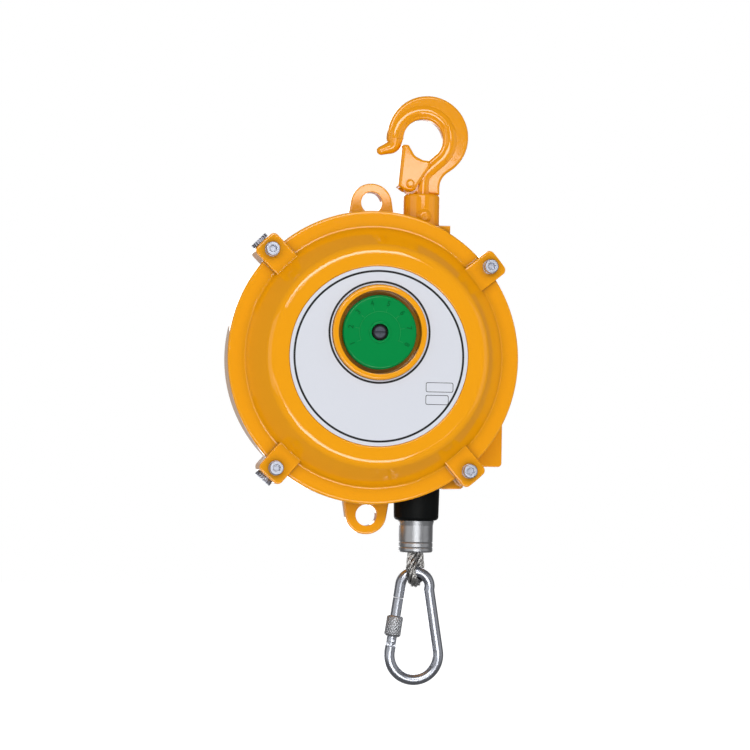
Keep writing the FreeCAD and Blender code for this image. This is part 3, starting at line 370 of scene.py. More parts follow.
def printed_plate(colour, ink):
    """Screen-printed aluminium plate: pale satin ground with two thin rings of black ink."""
    material, tree, shader, place, (grain,) = surface(
        "printed_plate", [(0.5 * MM, 2.0)], IOR=1.46, Specular_IOR_Level=0.4)
    line = 1.6 * MM
    rings = []
    for middle, radius in ((LABEL, 64.1 * MM), (DIAL, 38.0 * MM)):
        off = node(tree, "ShaderNodeMath", {0: off_axis(tree, place, middle), 1: radius},
                   operation="SUBTRACT")
        far = node(tree, "ShaderNodeMath", {0: off.outputs[0]}, operation="ABSOLUTE")
        rings.append(node(tree, "ShaderNodeMapRange", {
            "Value": far.outputs[0], "From Min": line * 0.42, "From Max": line * 0.58,
            "To Min": 1.0, "To Max": 0.0}).outputs[0])
    printed = node(tree, "ShaderNodeMath", {0: rings[0], 1: rings[1]},
                   operation="MAXIMUM").outputs[0]
    ground = node(tree, "ShaderNodeMix", {0: grain, 6: rgba(colour, 0.97), 7: rgba(colour)},
                  data_type="RGBA").outputs[2]
    dress(tree, shader, tint=(printed, ground, rgba(ink)), rough=(grain, 0.32, 0.4),
          raised=[("Normal", printed, 0.02 * MM, 0.3, None)])
    return material


def moulded_green(name, colour):
    """Injection-moulded ABS: deep even colour, a soft sheen and a fine spark-eroded texture."""
    material, tree, shader, _, (spark, shade) = surface(
        name, [(0.45 * MM, 2.0), (14 * MM, 2.0)], IOR=1.53, Specular_IOR_Level=0.0,
        Coat_Weight=0.5, Coat_Roughness=0.14, Coat_IOR=1.45)
    dress(tree, shader, tint=(shade, rgba(colour, 0.94), rgba(colour)), rough=(spark, 0.4, 0.5),
          raised=[("Normal", spark, 0.01 * MM, 0.4, None)])
    return material


def turned_metal(name, hex_colour, low, high, middle, axis, pitch):
    """Bare turned metal: fine tool marks round its axis, which spread the highlight along them."""
    material, tree, shader, place, (dull,) = surface(name, [(6 * MM, 2.0)], Metallic=1.0)
    moved = node(tree, "ShaderNodeMapping", {"Vector": place, "Location": tuple(-Vector(middle))})
    turn = Vector(axis).rotation_difference(Vector((0, 0, 1))).to_euler()
    level = node(tree, "ShaderNodeMapping", {"Vector": moved.outputs[0], "Rotation": tuple(turn)})
    drawn = node(tree, "ShaderNodeVectorMath", {0: level.outputs[0], 1: (0.03, 0.03, 1)},
                 operation="MULTIPLY")
    marks = node(tree, "ShaderNodeTexNoise", {
        "Vector": drawn.outputs[0], "Scale": 1 / pitch, "Detail": 3.0}).outputs[0]
    dress(tree, shader, tint=(dull, rgba(hex_colour, 0.82), rgba(hex_colour)),
          rough=(marks, low, high), raised=[("Normal", marks, 0.02 * MM, 0.5, None)])
    return material


def plated_metal(name, hex_colour, low, high, grain):
    """Zinc or oxide plated steel: bright metal with a slightly cloudy shine."""
    material, tree, shader, _, (cloud, skin) = surface(
        name, [(7 * MM, 2.0), (grain, 2.0)], Metallic=1.0)
    edge = node(tree, "ShaderNodeBevel", {"Radius": 0.7 * MM}, samples=8).outputs[0]
    dress(tree, shader, tint=(cloud, rgba(hex_colour, 0.92), rgba(hex_colour)),
          rough=(cloud, low, high), raised=[("Normal", skin, 0.003 * MM, 0.25, edge)])
    return material


def blackened_screw(middle, rim):
    """Phosphated screw head about Y: worn grey where a driver turns, with painted shade that turns
    its rim and the corners round it black.
    """
    material, tree, shader, place, (wear,) = surface(
        "blackened_screw", [(1.2 * MM, 3.0)], Metallic=0.6)
    # painted shade: the rim of the head turns black, as the hole round it lies in shadow
    shaded_rim = node(tree, "ShaderNodeMapRange", {
        "Value": off_axis(tree, place, middle), "From Min": rim * 0.62,
        "From Max": rim * 0.78}).outputs[0]
    worn = node(tree, "ShaderNodeMix", {0: wear, 6: rgba("#3B3F49"), 7: rgba("#5C616D")},
                data_type="RGBA").outputs[2]
    black = rgba("#060607")
    dress(tree, shader, tint=(shaded_rim, worn, black), rough=(wear, 0.4, 0.5),
          raised=[("Normal", wear, 0.02 * MM, 0.5, None)], dust_and_shade=(black, 1.2 * MM))
    return material


def moulded_rubber():
    """Moulded nitrile rubber: near black, dull, with a dusty bloom and a fine pebble."""
    material, tree, shader, _, (bloom, pebble) = surface(
        "moulded_rubber", [(9 * MM, 3.0), (0.5 * MM, 2.0)], IOR=1.52, Specular_IOR_Level=0.12)
    dress(tree, shader, tint=(bloom, rgba("#060808"), rgba("#0D1011")), rough=(bloom, 0.42, 0.58),
          raised=[("Normal", pebble, 0.03 * MM, 0.5, None)])
    return material


def stranded_wire(lay, strands):
    """Greased steel rope as a stripe pattern along Z, for a rope whose length changes. The valleys
    between strands are painted dark as their shade.
    """
    material, tree, shader, place, _ = surface("stranded_wire", Metallic=0.9)
    axes = node(tree, "ShaderNodeSeparateXYZ", {0: place}).outputs
    angle = node(tree, "ShaderNodeMath", {0: axes[1], 1: axes[0]}, operation="ARCTAN2")
    turn = node(tree, "ShaderNodeMath", {0: axes[2], 1: math.tau / lay}, operation="MULTIPLY")
    crest = node(tree, "ShaderNodeMath", {0: angle.outputs[0], 1: turn.outputs[0]},
                 operation="ADD").outputs[0]
    # a sine without its sign has two crests to a turn, so half the strands
    for operation, value in (("MULTIPLY", strands / 2), ("SINE", 0.0), ("ABSOLUTE", 0.0)):
        crest = node(tree, "ShaderNodeMath", {0: crest, 1: value}, operation=operation).outputs[0]
    # painted shade: the valleys between the strands are dark grey, the crests pale
    dress(tree, shader, tint=(crest, rgba("#2A2A2B"), rgba("#8E8F90")), rough=(crest, 0.55, 0.3),
          raised=[("Normal", crest, 1.0 * MM, 1.0, None)])
    return material


def drawn_wire():
    """Drawn steel wire with a film of grease: bright crests, and the valleys between wires painted
    near black as their shade.
    """
    material, tree, shader, _, (grease, scratches) = surface(
        "drawn_wire", [(2.5 * MM, 3.0), (0.4 * MM, 2.0)], Metallic=1.0)
    dress(tree, shader, tint=(grease, rgba("#D2CECA"), rgba("#FFFEFC")),
          rough=(grease, 0.36, 0.24), raised=[("Normal", scratches, 0.01 * MM, 0.4, None)],
          # painted shade: the valleys between wires turn near black
          dust_and_shade=(rgba("#080605"), 1.3 * MM))
    return material


def natural_nylon():
    """Machined nylon: translucent off-white with faint turning marks."""
    material, tree, shader, _, (cloud, marks) = surface(
        "natural_nylon", [(5 * MM, 2.0), (0.4 * MM, 2.0)], IOR=1.53, Roughness=0.45)
    dress(tree, shader, tint=(cloud, rgba("#D9D5C8"), rgba("#ECE9DF")),
          raised=[("Normal", marks, 0.01 * MM, 0.5, None)])
    return material


# ---- operators ----------------------------------------------------------------------------
class BALANCER_OT_housing(bpy.types.Operator):
    """Powder-coats the front cover and the rear case"""
    bl_idname = "balancer.housing"
    bl_label = "Housing"

    def execute(self, context):
        paint = context.scene.balancer_paint
        paint_nodes(powder_coat(paint.coat, paint.grain), "rear_case", "front_cover")
        return {"FINISHED"}


PLATE_FIELDS = ((46.4, -22.5, 21.0), (44.6, -32.0, 17.6))  # right, up and width in millimetres


class BALANCER_OT_face_plate(bpy.types.Operator):
    """Prints the face plate and lays its two blank fields"""
    bl_idname = "balancer.face_plate"
    bl_label = "Face plate"

    def execute(self, context):
        paint = context.scene.balancer_paint
        paint_nodes(printed_plate(paint.plate, paint.ink), "face_label")
        ink, tree, shader, _, (grain,) = surface(
            "field_ink", [(0.6 * MM, 2.0)], Base_Color=rgba(paint.ink), IOR=1.5)
        dress(tree, shader, rough=(grain, 0.35, 0.5))
        build = bmesh.new()
        for right, up, width in PLATE_FIELDS:
            add_field_outline(build, right * MM, up * MM, width * MM)
        mesh = bpy.data.meshes.new("plate_fields")
        build.to_mesh(mesh)
        build.free()
        new_piece("plate_fields", mesh, "housing", ink)
        return {"FINISHED"}


def add_field_outline(build, right, up, width):
    """Thin rounded outline of a blank field on the plate, centred right of and above its centre."""
    height, line, corner, thick = 7.4 * MM, 0.45 * MM, 1.4 * MM, 0.05 * MM
    quarters = ((1, 1), (1, -1), (-1, -1), (-1, 1))
    loops = []
    for inset in (0.0, line):
        w, h, r = width / 2 - inset, height / 2 - inset, corner - inset * 0.6
        points = []
        for k, (sx, sz) in enumerate(quarters):
            for step in range(7):
                a = math.radians(90 - 90 * k - 15 * step)
                points.append((sx * (w - r) + r * math.cos(a), sz * (h - r) + r * math.sin(a)))
        loops.append(points)
    outer, inner = loops
    front = LABEL_FACE - thick
    rings = [[build.verts.new((LABEL.x + right + u, y, LABEL.z + up + v)) for u, v in points]
             for points, y in ((outer, LABEL_FACE), (outer, front), (inner, front),
                               (inner, LABEL_FACE))]
    count = len(outer)
    for ring, following in zip(rings, rings[1:] + rings[:1]):
        for i in range(count):
            j = (i + 1) % count
            build.faces.new((ring[i], ring[j], following[j], following[i]))
    bmesh.ops.recalc_face_normals(build, faces=build.faces)


class BALANCER_OT_dial(bpy.types.Operator):
    """Moulds the tension dial's scale and fits its screw"""
    bl_idname = "balancer.dial"
    bl_label = "Tension dial"

    def execute(self, context):
        colour = context.scene.balancer_paint.dial
        paint_nodes(moulded_green("moulded_green", colour), "tension_dial")
        paint_nodes(blackened_screw(centre("dial_screw"), span("dial_screw").x / 2), "dial_screw")
        # the marks' sides are too narrow to shade them, so painted tints stand in: a painted
        # highlight makes the scale's ridges paler and painted shade makes the numerals darker
        pale = moulded_green("moulded_green_highlit_ridge", [c * 1.18 + 0.012 for c in colour])
        deep = moulded_green("moulded_green_shaded_mark", [c * 0.55 for c in colour])
        new_piece("dial_scale", dial_scale_mesh(pale), "spring_unit")
        new_piece("dial_numerals", dial_numeral_mesh(), "spring_unit", deep)
        return {"FINISHED"}


NUMERALS = 8
FIRST_NUMERAL, NUMERAL_STEP = math.radians(203), math.radians(-32.3)
NUMERAL_RADIUS, NUMERAL_HEIGHT = 22.3 * MM, 5.6 * MM
SCALE_ARC_RADIUS = 15.6 * MM


def on_dial(radius, angle):
    """A point on the dial's face."""
    return Vector((DIAL.x + radius * math.cos(angle), DIAL_FACE,
                   DIAL.z + radius * math.sin(angle)))


def joined(meshes):
    """One mesh with the faces of them all."""
    build = bmesh.new()
    for mesh in meshes:
        build.from_mesh(mesh)
    result = bpy.data.meshes.new("joined")
    build.to_mesh(result)
    build.free()
    return result


def dial_numeral_mesh():
    """Raised numerals 1 to 8, their feet towards the dial's centre."""
    meshes = []
    for k in range(NUMERALS):
        text = bpy.data.curves.new(f"numeral_{k + 1}", "FONT")
        text.body = str(k + 1)
        text.size = NUMERAL_HEIGHT
        text.align_x, text.align_y = "CENTER", "CENTER"
        text.extrude = 0.2 * MM
        text.offset = -0.02 * MM
        text.bevel_depth = 0.06 * MM
        text.bevel_resolution = 1
        text.resolution_u = 4
        mesh = evaluated_mesh(placed(text.name, text))
        angle = FIRST_NUMERAL + k * NUMERAL_STEP
        upright = Matrix.Rotation(math.pi / 2, 4, "X")
        round_dial = Matrix.Rotation(math.pi / 2 - angle, 4, "Y")
        place = Matrix.Translation(on_dial(NUMERAL_RADIUS, angle))
        mesh.transform(place @ round_dial @ upright)
        meshes.append(mesh)
    return joined(meshes)


def dial_scale_mesh(green):
    """Raised arc with a tick to each numeral, made by a geometry tree."""
    tree, given = geometry_tree("raised_scale", {
        "Arc Radius": "NodeSocketFloat", "Tick Length": "NodeSocketFloat", "Rib": "NodeSocketFloat",
        "Ticks": "NodeSocketInt", "Start": "NodeSocketFloat", "Sweep": "NodeSocketFloat",
        "Finish": "NodeSocketMaterial"})
    arc = node(tree, "GeometryNodeCurveArc", {
        "Resolution": 96, "Radius": given["Arc Radius"], "Start Angle": given["Start"],
        "Sweep Angle": given["Sweep"]}).outputs[0]
    marks = node(tree, "GeometryNodeCurveArc", {
        "Resolution": given["Ticks"], "Radius": given["Arc Radius"], "Start Angle": given["Start"],
        "Sweep Angle": given["Sweep"]}).outputs[0]
    far = node(tree, "ShaderNodeCombineXYZ", {0: given["Tick Length"]}).outputs[0]
    tick = node(tree, "GeometryNodeCurvePrimitiveLine", {"End": far}).outputs[0]
    outward = node(tree, "FunctionNodeAlignRotationToVector", {
        "Vector": node(tree, "GeometryNodeInputPosition").outputs[0]}, axis="X", pivot_axis="Z")
    ticks = node(tree, "GeometryNodeInstanceOnPoints", {
        "Points": marks, "Instance": tick, "Rotation": outward.outputs[0]}).outputs[0]
    lines = node(tree, "GeometryNodeJoinGeometry")
    tree.links.new(arc, lines.inputs[0])
    laid = node(tree, "GeometryNodeRealizeInstances", {0: ticks}).outputs[0]
    tree.links.new(laid, lines.inputs[0])
    rib = node(tree, "GeometryNodeCurvePrimitiveCircle", {
        "Resolution": 8, "Radius": given["Rib"]}).outputs[0]
    bars = node(tree, "GeometryNodeCurveToMesh", {
        "Curve": lines.outputs[0], "Profile Curve": rib, "Fill Caps": True}).outputs[0]
    end_tree(tree, bars, given["Finish"])
    mesh = grown("dial_scale", tree, bpy.data.meshes.new("none"), {
        "Finish": green,
        "Arc Radius": SCALE_ARC_RADIUS, "Tick Length": NUMERAL_RADIUS - SCALE_ARC_RADIUS - 3.4 * MM,
        "Rib": 0.22 * MM, "Ticks": NUMERALS, "Start": FIRST_NUMERAL,
        "Sweep": NUMERAL_STEP * (NUMERALS - 1)})
    mesh.transform(Matrix.Translation(on_dial(0, 0)) @ Matrix.Rotation(math.pi / 2, 4, "X"))
    return mesh


class BALANCER_OT_fasteners(bpy.types.Operator):
    """Zinc-plates the cover screws, their washers and the side plugs"""
    bl_idname = "balancer.fasteners"
    bl_label = "Fasteners"

    def execute(self, context):
        zinc = plated_metal("zinc_plate", "#C6CAD8", 0.36, 0.5, 0.6 * MM)
        paint_nodes(zinc, "cover_screws", "cover_washers", "side_plugs", "swivel_nut", "split_pin",
                    "lid_screws")
        return {"FINISHED"}


class BALANCER_OT_top_hook(bpy.types.Operator):
    """Paints the swivel hook, its socket, pins and latch"""
    bl_idname = "balancer.top_hook"
    bl_label = "Top hook"

    def execute(self, context):
        enamel = forging_enamel(context.scene.balancer_paint.hook)
        paint_nodes(enamel, "lifting_hook", "hook_socket", "cross_pin", "latch_pin", "hook_latch")
        return {"FINISHED"}


class BALANCER_OT_works(bpy.types.Operator):
    """Gives the drum, spring, gears and bearings inside the housing their metals"""
    bl_idname = "balancer.works"
    bl_label = "Works"

    def execute(self, context):
        shaft = tuple(centre("centre_shaft"))
        across = (0, 1, 0)
        steel = turned_metal("turned_steel", "#B7B8BA", 0.25, 0.4, shaft, across, 0.4 * MM)
        paint_nodes(steel, "centre_shaft", "shaft_key", "spring_case_lid", "worm_shaft",
                    "worm_end_plug", "thrust_washer")
        bronze = turned_metal("bearing_bronze", "#B98A4A", 0.3, 0.45, shaft, across, 0.4 * MM)
        paint_nodes(bronze, "front_bearing", "rear_bearing", "drum_bushes", "worm_wheel",
                    "worm_upper_bush", "worm_lower_bush", "swivel_bush")
        aluminium = turned_metal("turned_aluminium", "#C3C6CA", 0.32, 0.5, shaft, across, 0.7 * MM)
        paint_nodes(aluminium, "rope_drum", "spring_case")
        blued = plated_metal("blued_spring_steel", "#4C5058", 0.25, 0.4, 0.6 * MM)
        paint_nodes(blued, "main_spring", "latch_spring", "shaft_circlip")
        paint_nodes(natural_nylon(), "rope_guide_bush")
        paint_nodes(drawn_wire(), "wound_rope")
        return {"FINISHED"}


class BALANCER_OT_rope_end(bpy.types.Operator):
    """Finishes the rubber bumper and the pressed ferrule"""
    bl_idname = "balancer.rope_end"
    bl_label = "Bumper and ferrule"

    def execute(self, context):
        paint_nodes(moulded_rubber(), "rubber_bumper")
        pressed = turned_metal("pressed_aluminium", "#DADCE0", 0.3, 0.42,
                               tuple(centre("rope_ferrule")), (0, 0, 1), 0.5 * MM)
        paint_nodes(pressed, "rope_ferrule")
        return {"FINISHED"}


def rope_tree():
    """Geometry tree that lays strands of wires round a path, as a rope's makers do."""
    tree, given = geometry_tree("laid_rope", {
        "Rope Radius": "NodeSocketFloat", "Lay": "NodeSocketFloat", "Strands": "NodeSocketInt",
        "Wires": "NodeSocketInt", "Points": "NodeSocketInt", "Finish": "NodeSocketMaterial"})

    def worked(operation, *values, kind="ShaderNodeMath"):
        return node(tree, kind, dict(enumerate(values)), operation=operation).outputs[0]

    def vector(operation, *values):
        return worked(operation, *values, kind="ShaderNodeVectorMath")

    def swung(first, second, angle):
        """Direction turned from the first towards the second by an angle."""
        return vector("ADD", vector("MULTIPLY", first, worked("COSINE", angle)),
                      vector("MULTIPLY", second, worked("SINE", angle)))

    path = node(tree, "GeometryNodeResampleCurve", {
        "Curve": given["Geometry"], "Count": given["Points"]})
    kept = node(tree, "GeometryNodeCaptureAttribute", {"Geometry": path.outputs[0]}, domain="POINT")
    for kind, label, source, output in (
            ("FLOAT", "along", "GeometryNodeSplineParameter", "Length"),
            ("VECTOR", "normal", "GeometryNodeInputNormal", 0),
            ("VECTOR", "tangent", "GeometryNodeInputTangent", 0)):
        kept.capture_items.new(kind, label)
        tree.links.new(node(tree, source).outputs[output], kept.inputs[label])
    wires_each = worked("ADD", given["Wires"], 1.0)
    total = worked("MULTIPLY", given["Strands"], wires_each)
    copies = node(tree, "GeometryNodeDuplicateElements", {
        "Geometry": kept.outputs[0], "Amount": total}, domain="SPLINE")
    index = copies.outputs["Duplicate Index"]
    strand = worked("FLOOR", worked("DIVIDE", index, wires_each))
    wire = worked("MODULO", index, wires_each)
    along, normal, tangent = (kept.outputs[name] for name in ("along", "normal", "tangent"))
    across = vector("CROSS_PRODUCT", tangent, normal)
    strand_radius = worked("DIVIDE", given["Rope Radius"], 3.0)
    # outer wires that touch one another round their strand
    gap = worked("SINE", worked("DIVIDE", math.pi, given["Wires"]))
    wire_radius = worked("MULTIPLY", strand_radius, worked("DIVIDE", gap, worked("ADD", gap, 1.0)))
    turn = worked("MULTIPLY", worked("DIVIDE", along, given["Lay"]), math.tau)
    strand_share = worked("MULTIPLY", worked("DIVIDE", strand, given["Strands"]), math.tau)
    out = swung(normal, across, worked("ADD", turn, strand_share))
    side = vector("CROSS_PRODUCT", tangent, out)
    wire_share = worked("MULTIPLY", worked("DIVIDE", wire, given["Wires"]), math.tau)
    # the wires turn against the strands and faster than they do
    wire_out = swung(out, side, worked("SUBTRACT", wire_share, worked("MULTIPLY", turn, 1.6)))
    # the last wire of each strand is its core, thick enough to fill it
    is_outer = worked("LESS_THAN", wire, worked("SUBTRACT", wires_each, 0.5))
    reach = worked("MULTIPLY", worked("SUBTRACT", strand_radius, wire_radius), is_outer)
    core = worked("SUBTRACT", worked("DIVIDE", strand_radius, wire_radius), 2.0)
    thick = worked("ADD", is_outer, worked("MULTIPLY", worked("SUBTRACT", 1.0, is_outer), core))
    offset = vector("ADD", vector("MULTIPLY", out, worked("MULTIPLY", strand_radius, 2.0)),
                    vector("MULTIPLY", wire_out, reach))
    laid = node(tree, "GeometryNodeSetPosition", {"Geometry": copies.outputs[0], "Offset": offset})
    laid = node(tree, "GeometryNodeSetCurveRadius", {"Curve": laid.outputs[0], "Radius": thick})
    section = node(tree, "GeometryNodeCurvePrimitiveCircle", {
        "Resolution": 7, "Radius": wire_radius})
    solid = node(tree, "GeometryNodeCurveToMesh", {
        "Curve": laid.outputs[0], "Profile Curve": section.outputs[0], "Fill Caps": True})
    end_tree(tree, solid.outputs[0], given["Finish"])
    return tree


class BALANCER_OT_wire_rope(bpy.types.Operator):
    """Lays the eye of the wire rope and the length that runs from the drum to the ferrule"""
    bl_idname = "balancer.wire_rope"
    bl_label = "Wire rope"

    def execute(self, context):
        rope = context.scene.balancer_rope
        mesh = grown("rope_eye", rope_tree(), eye_path(), {
            "Rope Radius": ROPE_RADIUS * 0.99, "Lay": rope.lay, "Strands": rope.strands,
            "Wires": rope.wires, "Points": 110, "Finish": drawn_wire()})
        eye = new_piece("rope_eye", mesh, "rope_end")
        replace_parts(eye, "rope_loop")

        running = lathe([(0.0, SPAN_LOW.z), (ROPE_RADIUS, SPAN_LOW.z), (ROPE_RADIUS, BUMPER_HIGH.z),
                         (ROPE_RADIUS, SPAN_HIGH.z), (0.0, SPAN_HIGH.z)])
        live = new_piece("running_rope", running, None,
                         stranded_wire(rope.lay, rope.strands))
        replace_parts(live, "rope_span")
        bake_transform(live)
        return {"FINISHED"}


def eye_path():
    """Centre line of the rope's eye, down one leg, round the bottom and up the other."""
    half = LOOP_HIGH - LOOP_LOW
    turn = math.atan2(half.y - 2 * ROPE_RADIUS, half.x - 2 * ROPE_RADIUS)
    wide = math.hypot(half.y - 2 * ROPE_RADIUS, half.x - 2 * ROPE_RADIUS) / 2
    neck = ROPE_RADIUS + 0.6 * MM            # the legs nearly touch in the ferrule
    bottom = LOOP_LOW.z + ROPE_RADIUS
    level = bottom + wide + 2 * MM
    top = FERRULE_LOW.z + 9 * MM             # inside the ferrule
    leg, bow = (top - level) / 3, wide * 0.56
    corners = [((-neck, top), (0, -leg)), ((-wide, level), (0, -leg * 0.8)),
               ((0, bottom), (bow, 0)), ((wide, level), (0, leg * 0.8)), ((neck, top), (0, leg))]
    curve = bpy.data.curves.new("eye_path", "CURVE")
    curve.dimensions = "3D"
    spline = curve.splines.new("BEZIER")
    spline.bezier_points.add(len(corners) - 1)
    across = Vector((math.cos(turn), math.sin(turn), 0))
    for point, ((u, z), (du, dz)) in zip(spline.bezier_points, corners):
        place, handle = across * u + Vector((0, 0, z)), across * du + Vector((0, 0, dz))
        point.co = place
        point.handle_left_type = point.handle_right_type = "FREE"
        point.handle_left = place - handle
        point.handle_right = place + handle
    spline.resolution_u = 24
    return curve


class BALANCER_OT_carabiner(bpy.types.Operator):
    """Plates the carabiner and knurls its locking sleeve"""
    bl_idname = "balancer.carabiner"
    bl_label = "Carabiner"

    def execute(self, context):
        chrome = plated_metal("polished_zinc", "#D2D6E0", 0.26, 0.3, 2.5 * MM)
        paint_nodes(chrome, "carabiner_body", "gate_pin", "carabiner_gate")
        paint = context.scene.balancer_paint
        satin = plated_metal("knurled_zinc", "#DDDFE4", 0.32, 0.42, 1.0 * MM)
        mesh = grown("knurled_sleeve", knurl_tree(), sleeve_blank(), {
            "Radius": SLEEVE_RADIUS - KNURL_DEPTH, "Length": SLEEVE_LENGTH - 2 * PLAIN_END,
            "Rib": KNURL_DEPTH, "Ribs": paint.knurl_ribs, "Turn": KNURL_TURN, "Finish": satin})
        mesh.transform(Matrix.Translation(centre("gate_sleeve"))
                       @ Vector((0, 0, 1)).rotation_difference(SLEEVE_AXIS).to_matrix().to_4x4())
        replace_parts(new_piece("knurled_sleeve", mesh, "sleeve"), "gate_sleeve")
        return {"FINISHED"}


KNURL_DEPTH, KNURL_TURN = 0.32 * MM, 0.28    # a rib goes this share of a turn round the sleeve
SLEEVE_BORE, PLAIN_END = 4.25 * MM, 1.3 * MM


def sleeve_blank():
    """Sleeve before knurling, about +Z: a tube with chamfered ends."""
    half, outer = SLEEVE_LENGTH / 2, SLEEVE_RADIUS - KNURL_DEPTH
    slope = 0.9 * MM
    return lathe([(SLEEVE_BORE, -half), (outer - slope, -half), (outer, slope - half),
                  (outer, half - slope), (outer - slope, half), (SLEEVE_BORE, half)])


def knurl_tree():
    """Geometry tree that lays helical ribs of both hands on a blank, as a knurling tool does."""
    tree, given = geometry_tree("knurling", {
        "Radius": "NodeSocketFloat", "Length": "NodeSocketFloat", "Rib": "NodeSocketFloat",
        "Ribs": "NodeSocketInt", "Turn": "NodeSocketFloat", "Finish": "NodeSocketMaterial"})
    # one point for each rib, all but on the axis
    spots = node(tree, "GeometryNodeCurvePrimitiveCircle", {
        "Resolution": given["Ribs"], "Radius": 1e-5})
    angle = node(tree, "GeometryNodeInputIndex").outputs[0]
    for operation, value in (("MULTIPLY", math.tau), ("DIVIDE", given["Ribs"])):
        angle = node(tree, "ShaderNodeMath", {0: angle, 1: value}, operation=operation).outputs[0]
    turned = node(tree, "ShaderNodeCombineXYZ", {2: angle}).outputs[0]
    lower = node(tree, "ShaderNodeMath", {0: given["Length"], 1: -0.5}, operation="MULTIPLY")
    start = node(tree, "ShaderNodeCombineXYZ", {2: lower.outputs[0]}).outputs[0]
    rib = node(tree, "GeometryNodeCurvePrimitiveCircle", {
        "Resolution": 4, "Radius": given["Rib"]}).outputs[0]
    parts = node(tree, "GeometryNodeJoinGeometry")
    tree.links.new(given["Geometry"], parts.inputs[0])
    for handed in (False, True):
        helix = node(tree, "GeometryNodeCurveSpiral", {
            "Resolution": 60, "Rotations": given["Turn"], "Start Radius": given["Radius"],
            "End Radius": given["Radius"], "Height": given["Length"], "Reverse": handed})
        bar = node(tree, "GeometryNodeCurveToMesh", {
            "Curve": helix.outputs[0], "Profile Curve": rib, "Fill Caps": True})
        laid = node(tree, "GeometryNodeTransform", {
            "Geometry": bar.outputs[0], "Translation": start})
        ring = node(tree, "GeometryNodeInstanceOnPoints", {
            "Points": spots.outputs[0], "Instance": laid.outputs[0], "Rotation": turned})
        tree.links.new(ring.outputs[0], parts.inputs[0])
    end_tree(tree, parts.outputs[0], given["Finish"])
    return tree


class BALANCER_OT_stage(bpy.types.Operator):
    """Sets up the pale floor, the backdrop, the lamps and the camera"""
    bl_idname = "balancer.stage"
    bl_label = "Studio"

    def execute(self, context):
        settings = context.scene.balancer_stage
        context.scene.view_settings.view_transform = "Standard"
        add_floor(settings)
        add_backdrop(context.scene, settings)
        add_lamps()
        add_camera(context.scene, settings)
        return {"FINISHED"}


FLOOR_HALF, FLOOR_GLOW = 30.0, 0.85          # half its width, and its own light to the camera
ROOM_LIGHT, ROOM_GLOSS, BACK_GLOSS = 0.45, 0.12, 0.4
BACK_FROM, BACK_TO = 0.62, 0.9               # a gloss ray's Y, where the room gives way to the back


def add_floor(settings):
    """Wide floor under the hanging balancer, white to the camera but for the shadow."""
    build = bmesh.new()
    bmesh.ops.create_grid(build, x_segments=8, y_segments=8, size=FLOOR_HALF)
    mesh = bpy.data.meshes.new("floor")
    build.to_mesh(mesh)
    build.free()
    mesh.transform(Matrix.Translation((0, 0, CAD_BOX[0].z - settings.drop)))
    floor = placed("floor", mesh)
    pale = settings.backdrop
    material, tree, shader, _, (dust_and_shade,) = surface(
        "studio_floor", [(0.3, 2.0)], Roughness=0.9, Specular_IOR_Level=0.0,
        Emission_Color=rgba(pale))
    dress(tree, shader, tint=(dust_and_shade, rgba(pale, 0.80), rgba(pale, 0.82)))
    seen = node(tree, "ShaderNodeLightPath").outputs["Is Camera Ray"]
    glow = node(tree, "ShaderNodeMapRange", {"Value": seen, "To Min": 0.0, "To Max": FLOOR_GLOW})
    tree.links.new(glow.outputs[0], shader.inputs["Emission Strength"])
    mesh.materials.append(material)
    floor.visible_glossy = False


def add_backdrop(scene, settings):
    """World that the camera sees as the backdrop's white. Gloss sees a paler back behind the
    balancer than the dim room before it."""
    world = bpy.data.worlds.new("backdrop")
    scene.world = world
    world.use_nodes = True
    tree = world.node_tree
    tree.nodes.clear()
    rays = node(tree, "ShaderNodeLightPath").outputs
    direction = node(tree, "ShaderNodeTexCoord").outputs["Generated"]
    behind = node(tree, "ShaderNodeSeparateXYZ", {0: direction}).outputs[1]
    mirrored = node(tree, "ShaderNodeMapRange", {
        "Value": behind, "From Min": BACK_FROM, "From Max": BACK_TO,
        "To Min": ROOM_GLOSS, "To Max": BACK_GLOSS}).outputs[0]
    dim = node(tree, "ShaderNodeMix", {0: rays["Is Glossy Ray"], 2: ROOM_LIGHT, 3: mirrored})
    seen = node(tree, "ShaderNodeMath", {0: rays["Is Camera Ray"], 1: rays["Is Transmission Ray"]},
                operation="MAXIMUM")
    strength = node(tree, "ShaderNodeMath", {0: seen.outputs[0], 1: dim.outputs[0]},
                    operation="MAXIMUM").outputs[0]
    light = node(tree, "ShaderNodeBackground", {
        "Color": rgba(settings.backdrop), "Strength": strength})
    node(tree, "ShaderNodeOutputWorld", {"Surface": light.outputs[0]})


LAMPS = (
    # name, place, width and height in metres, and radiance
    ("upper_softbox", (-0.14, -2.0, 0.62), 1.3, 0.56, 5.2),
    ("lower_softbox", (-0.14, -2.0, -0.86), 1.3, 0.54, 4.6),
    ("upper_strip", (0.02, -2.0, 0.172), 0.74, 0.075, 4.2),
    ("low_card", (-0.45, -2.0, -0.50), 2.5, 0.18, 1.0),
    ("left_fill", (-2.1, -1.1, -0.1), 1.8, 1.8, 0.45),
    ("right_fill", (2.0, -1.1, -0.1), 1.8, 1.8, 0.3),
    ("rear_softbox", (0.3, 2.3, 0.5), 1.6, 1.0, 2.6),
    ("rear_low_softbox", (-0.4, 2.3, -0.8), 1.6, 0.6, 2.6),
)


def add_lamps():
    """Soft panels of even radiance. One above and one below the camera give most of the light."""
    aim = centre("front_cover")
    for name, place, width, height, radiance in LAMPS:
        lamp = bpy.data.lights.new(name, "AREA")
        lamp.shape = "RECTANGLE"
        lamp.size, lamp.size_y = width, height
        lamp.energy = radiance * width * height * math.pi
        holder = placed(name, lamp)
        holder.location = place
        holder.rotation_euler = (aim - Vector(place)).to_track_quat("-Z", "Y").to_euler()


AIM_RIGHT, AIM_UP = 5.0 * MM, 10.7 * MM      # from the middle of the CAD box


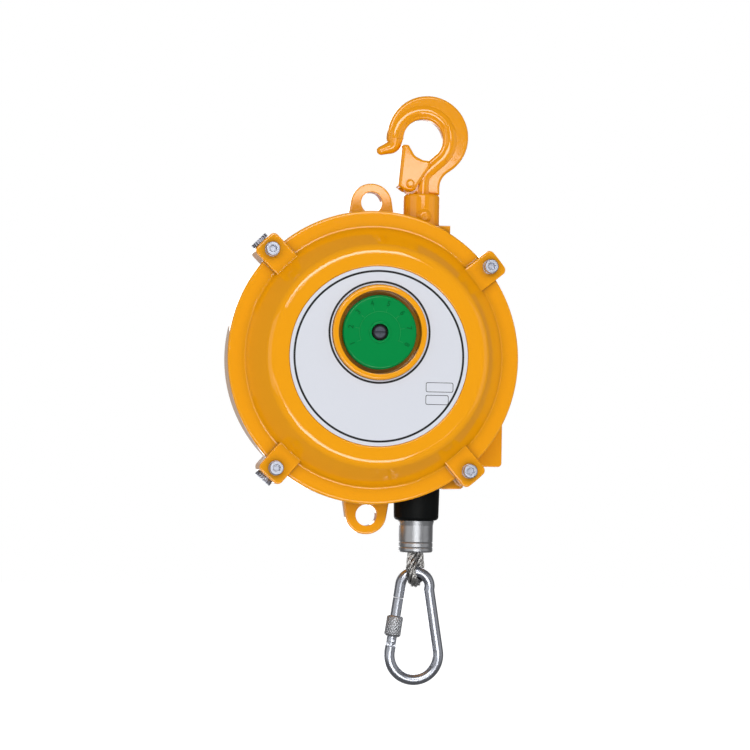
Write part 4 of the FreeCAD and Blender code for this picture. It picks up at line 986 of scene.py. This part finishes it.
def add_camera(scene, settings):
    """Camera in front of the balancer, a little to its left and below."""
    data = bpy.data.cameras.new("camera")
    data.lens = settings.lens
    camera = placed("camera", data)
    low, high = CAD_BOX
    target = Vector(((low.x + high.x) / 2 + AIM_RIGHT, 0.0, (low.z + high.z) / 2 + AIM_UP))
    back = Vector((math.sin(settings.azimuth) * math.cos(settings.elevation),
                   -math.cos(settings.azimuth) * math.cos(settings.elevation),
                   math.sin(settings.elevation)))
    camera.location = target + back * settings.distance
    turn = (-back).to_track_quat("-Z", "Y").to_matrix() @ Matrix.Rotation(settings.roll, 3, "Z")
    camera.rotation_euler = turn.to_euler()
    data.clip_start, data.clip_end = 0.05, 100.0
    scene.camera = camera


OPERATORS = (
    BALANCER_OT_housing, BALANCER_OT_face_plate, BALANCER_OT_dial, BALANCER_OT_fasteners,
    BALANCER_OT_top_hook, BALANCER_OT_works, BALANCER_OT_rope_end, BALANCER_OT_wire_rope,
    BALANCER_OT_carabiner, BALANCER_OT_stage)
SETTINGS = {
    "balancer_paint": BalancerPaint, "balancer_rope": BalancerRope, "balancer_stage": BalancerStage}


class BALANCER_PT_panel(bpy.types.Panel):
    """Lists the balancer's settings and the steps that build it"""
    bl_idname = "BALANCER_PT_panel"
    bl_label = "Tool balancer"
    bl_space_type = "VIEW_3D"
    bl_region_type = "UI"
    bl_category = "Balancer"

    def draw(self, context):
        for name, group in SETTINGS.items():
            box = self.layout.box()
            for field in group.__annotations__:
                box.prop(getattr(context.scene, name), field)
        for operator in OPERATORS:
            self.layout.operator(operator.bl_idname)


def register():
    for group in SETTINGS.values():
        bpy.utils.register_class(group)
    for operator in OPERATORS:
        bpy.utils.register_class(operator)
    bpy.utils.register_class(BALANCER_PT_panel)
    for name, group in SETTINGS.items():
        setattr(bpy.types.Scene, name, bpy.props.PointerProperty(type=group))


def unregister():
    for name in SETTINGS:
        delattr(bpy.types.Scene, name)
    bpy.utils.unregister_class(BALANCER_PT_panel)
    for operator in reversed(OPERATORS):
        bpy.utils.unregister_class(operator)
    for group in SETTINGS.values():
        bpy.utils.unregister_class(group)


def main():
    register()
    for operator in OPERATORS:
        group, name = operator.bl_idname.split(".")
        getattr(getattr(bpy.ops, group), name)()


if __name__ == "__main__":
    main()
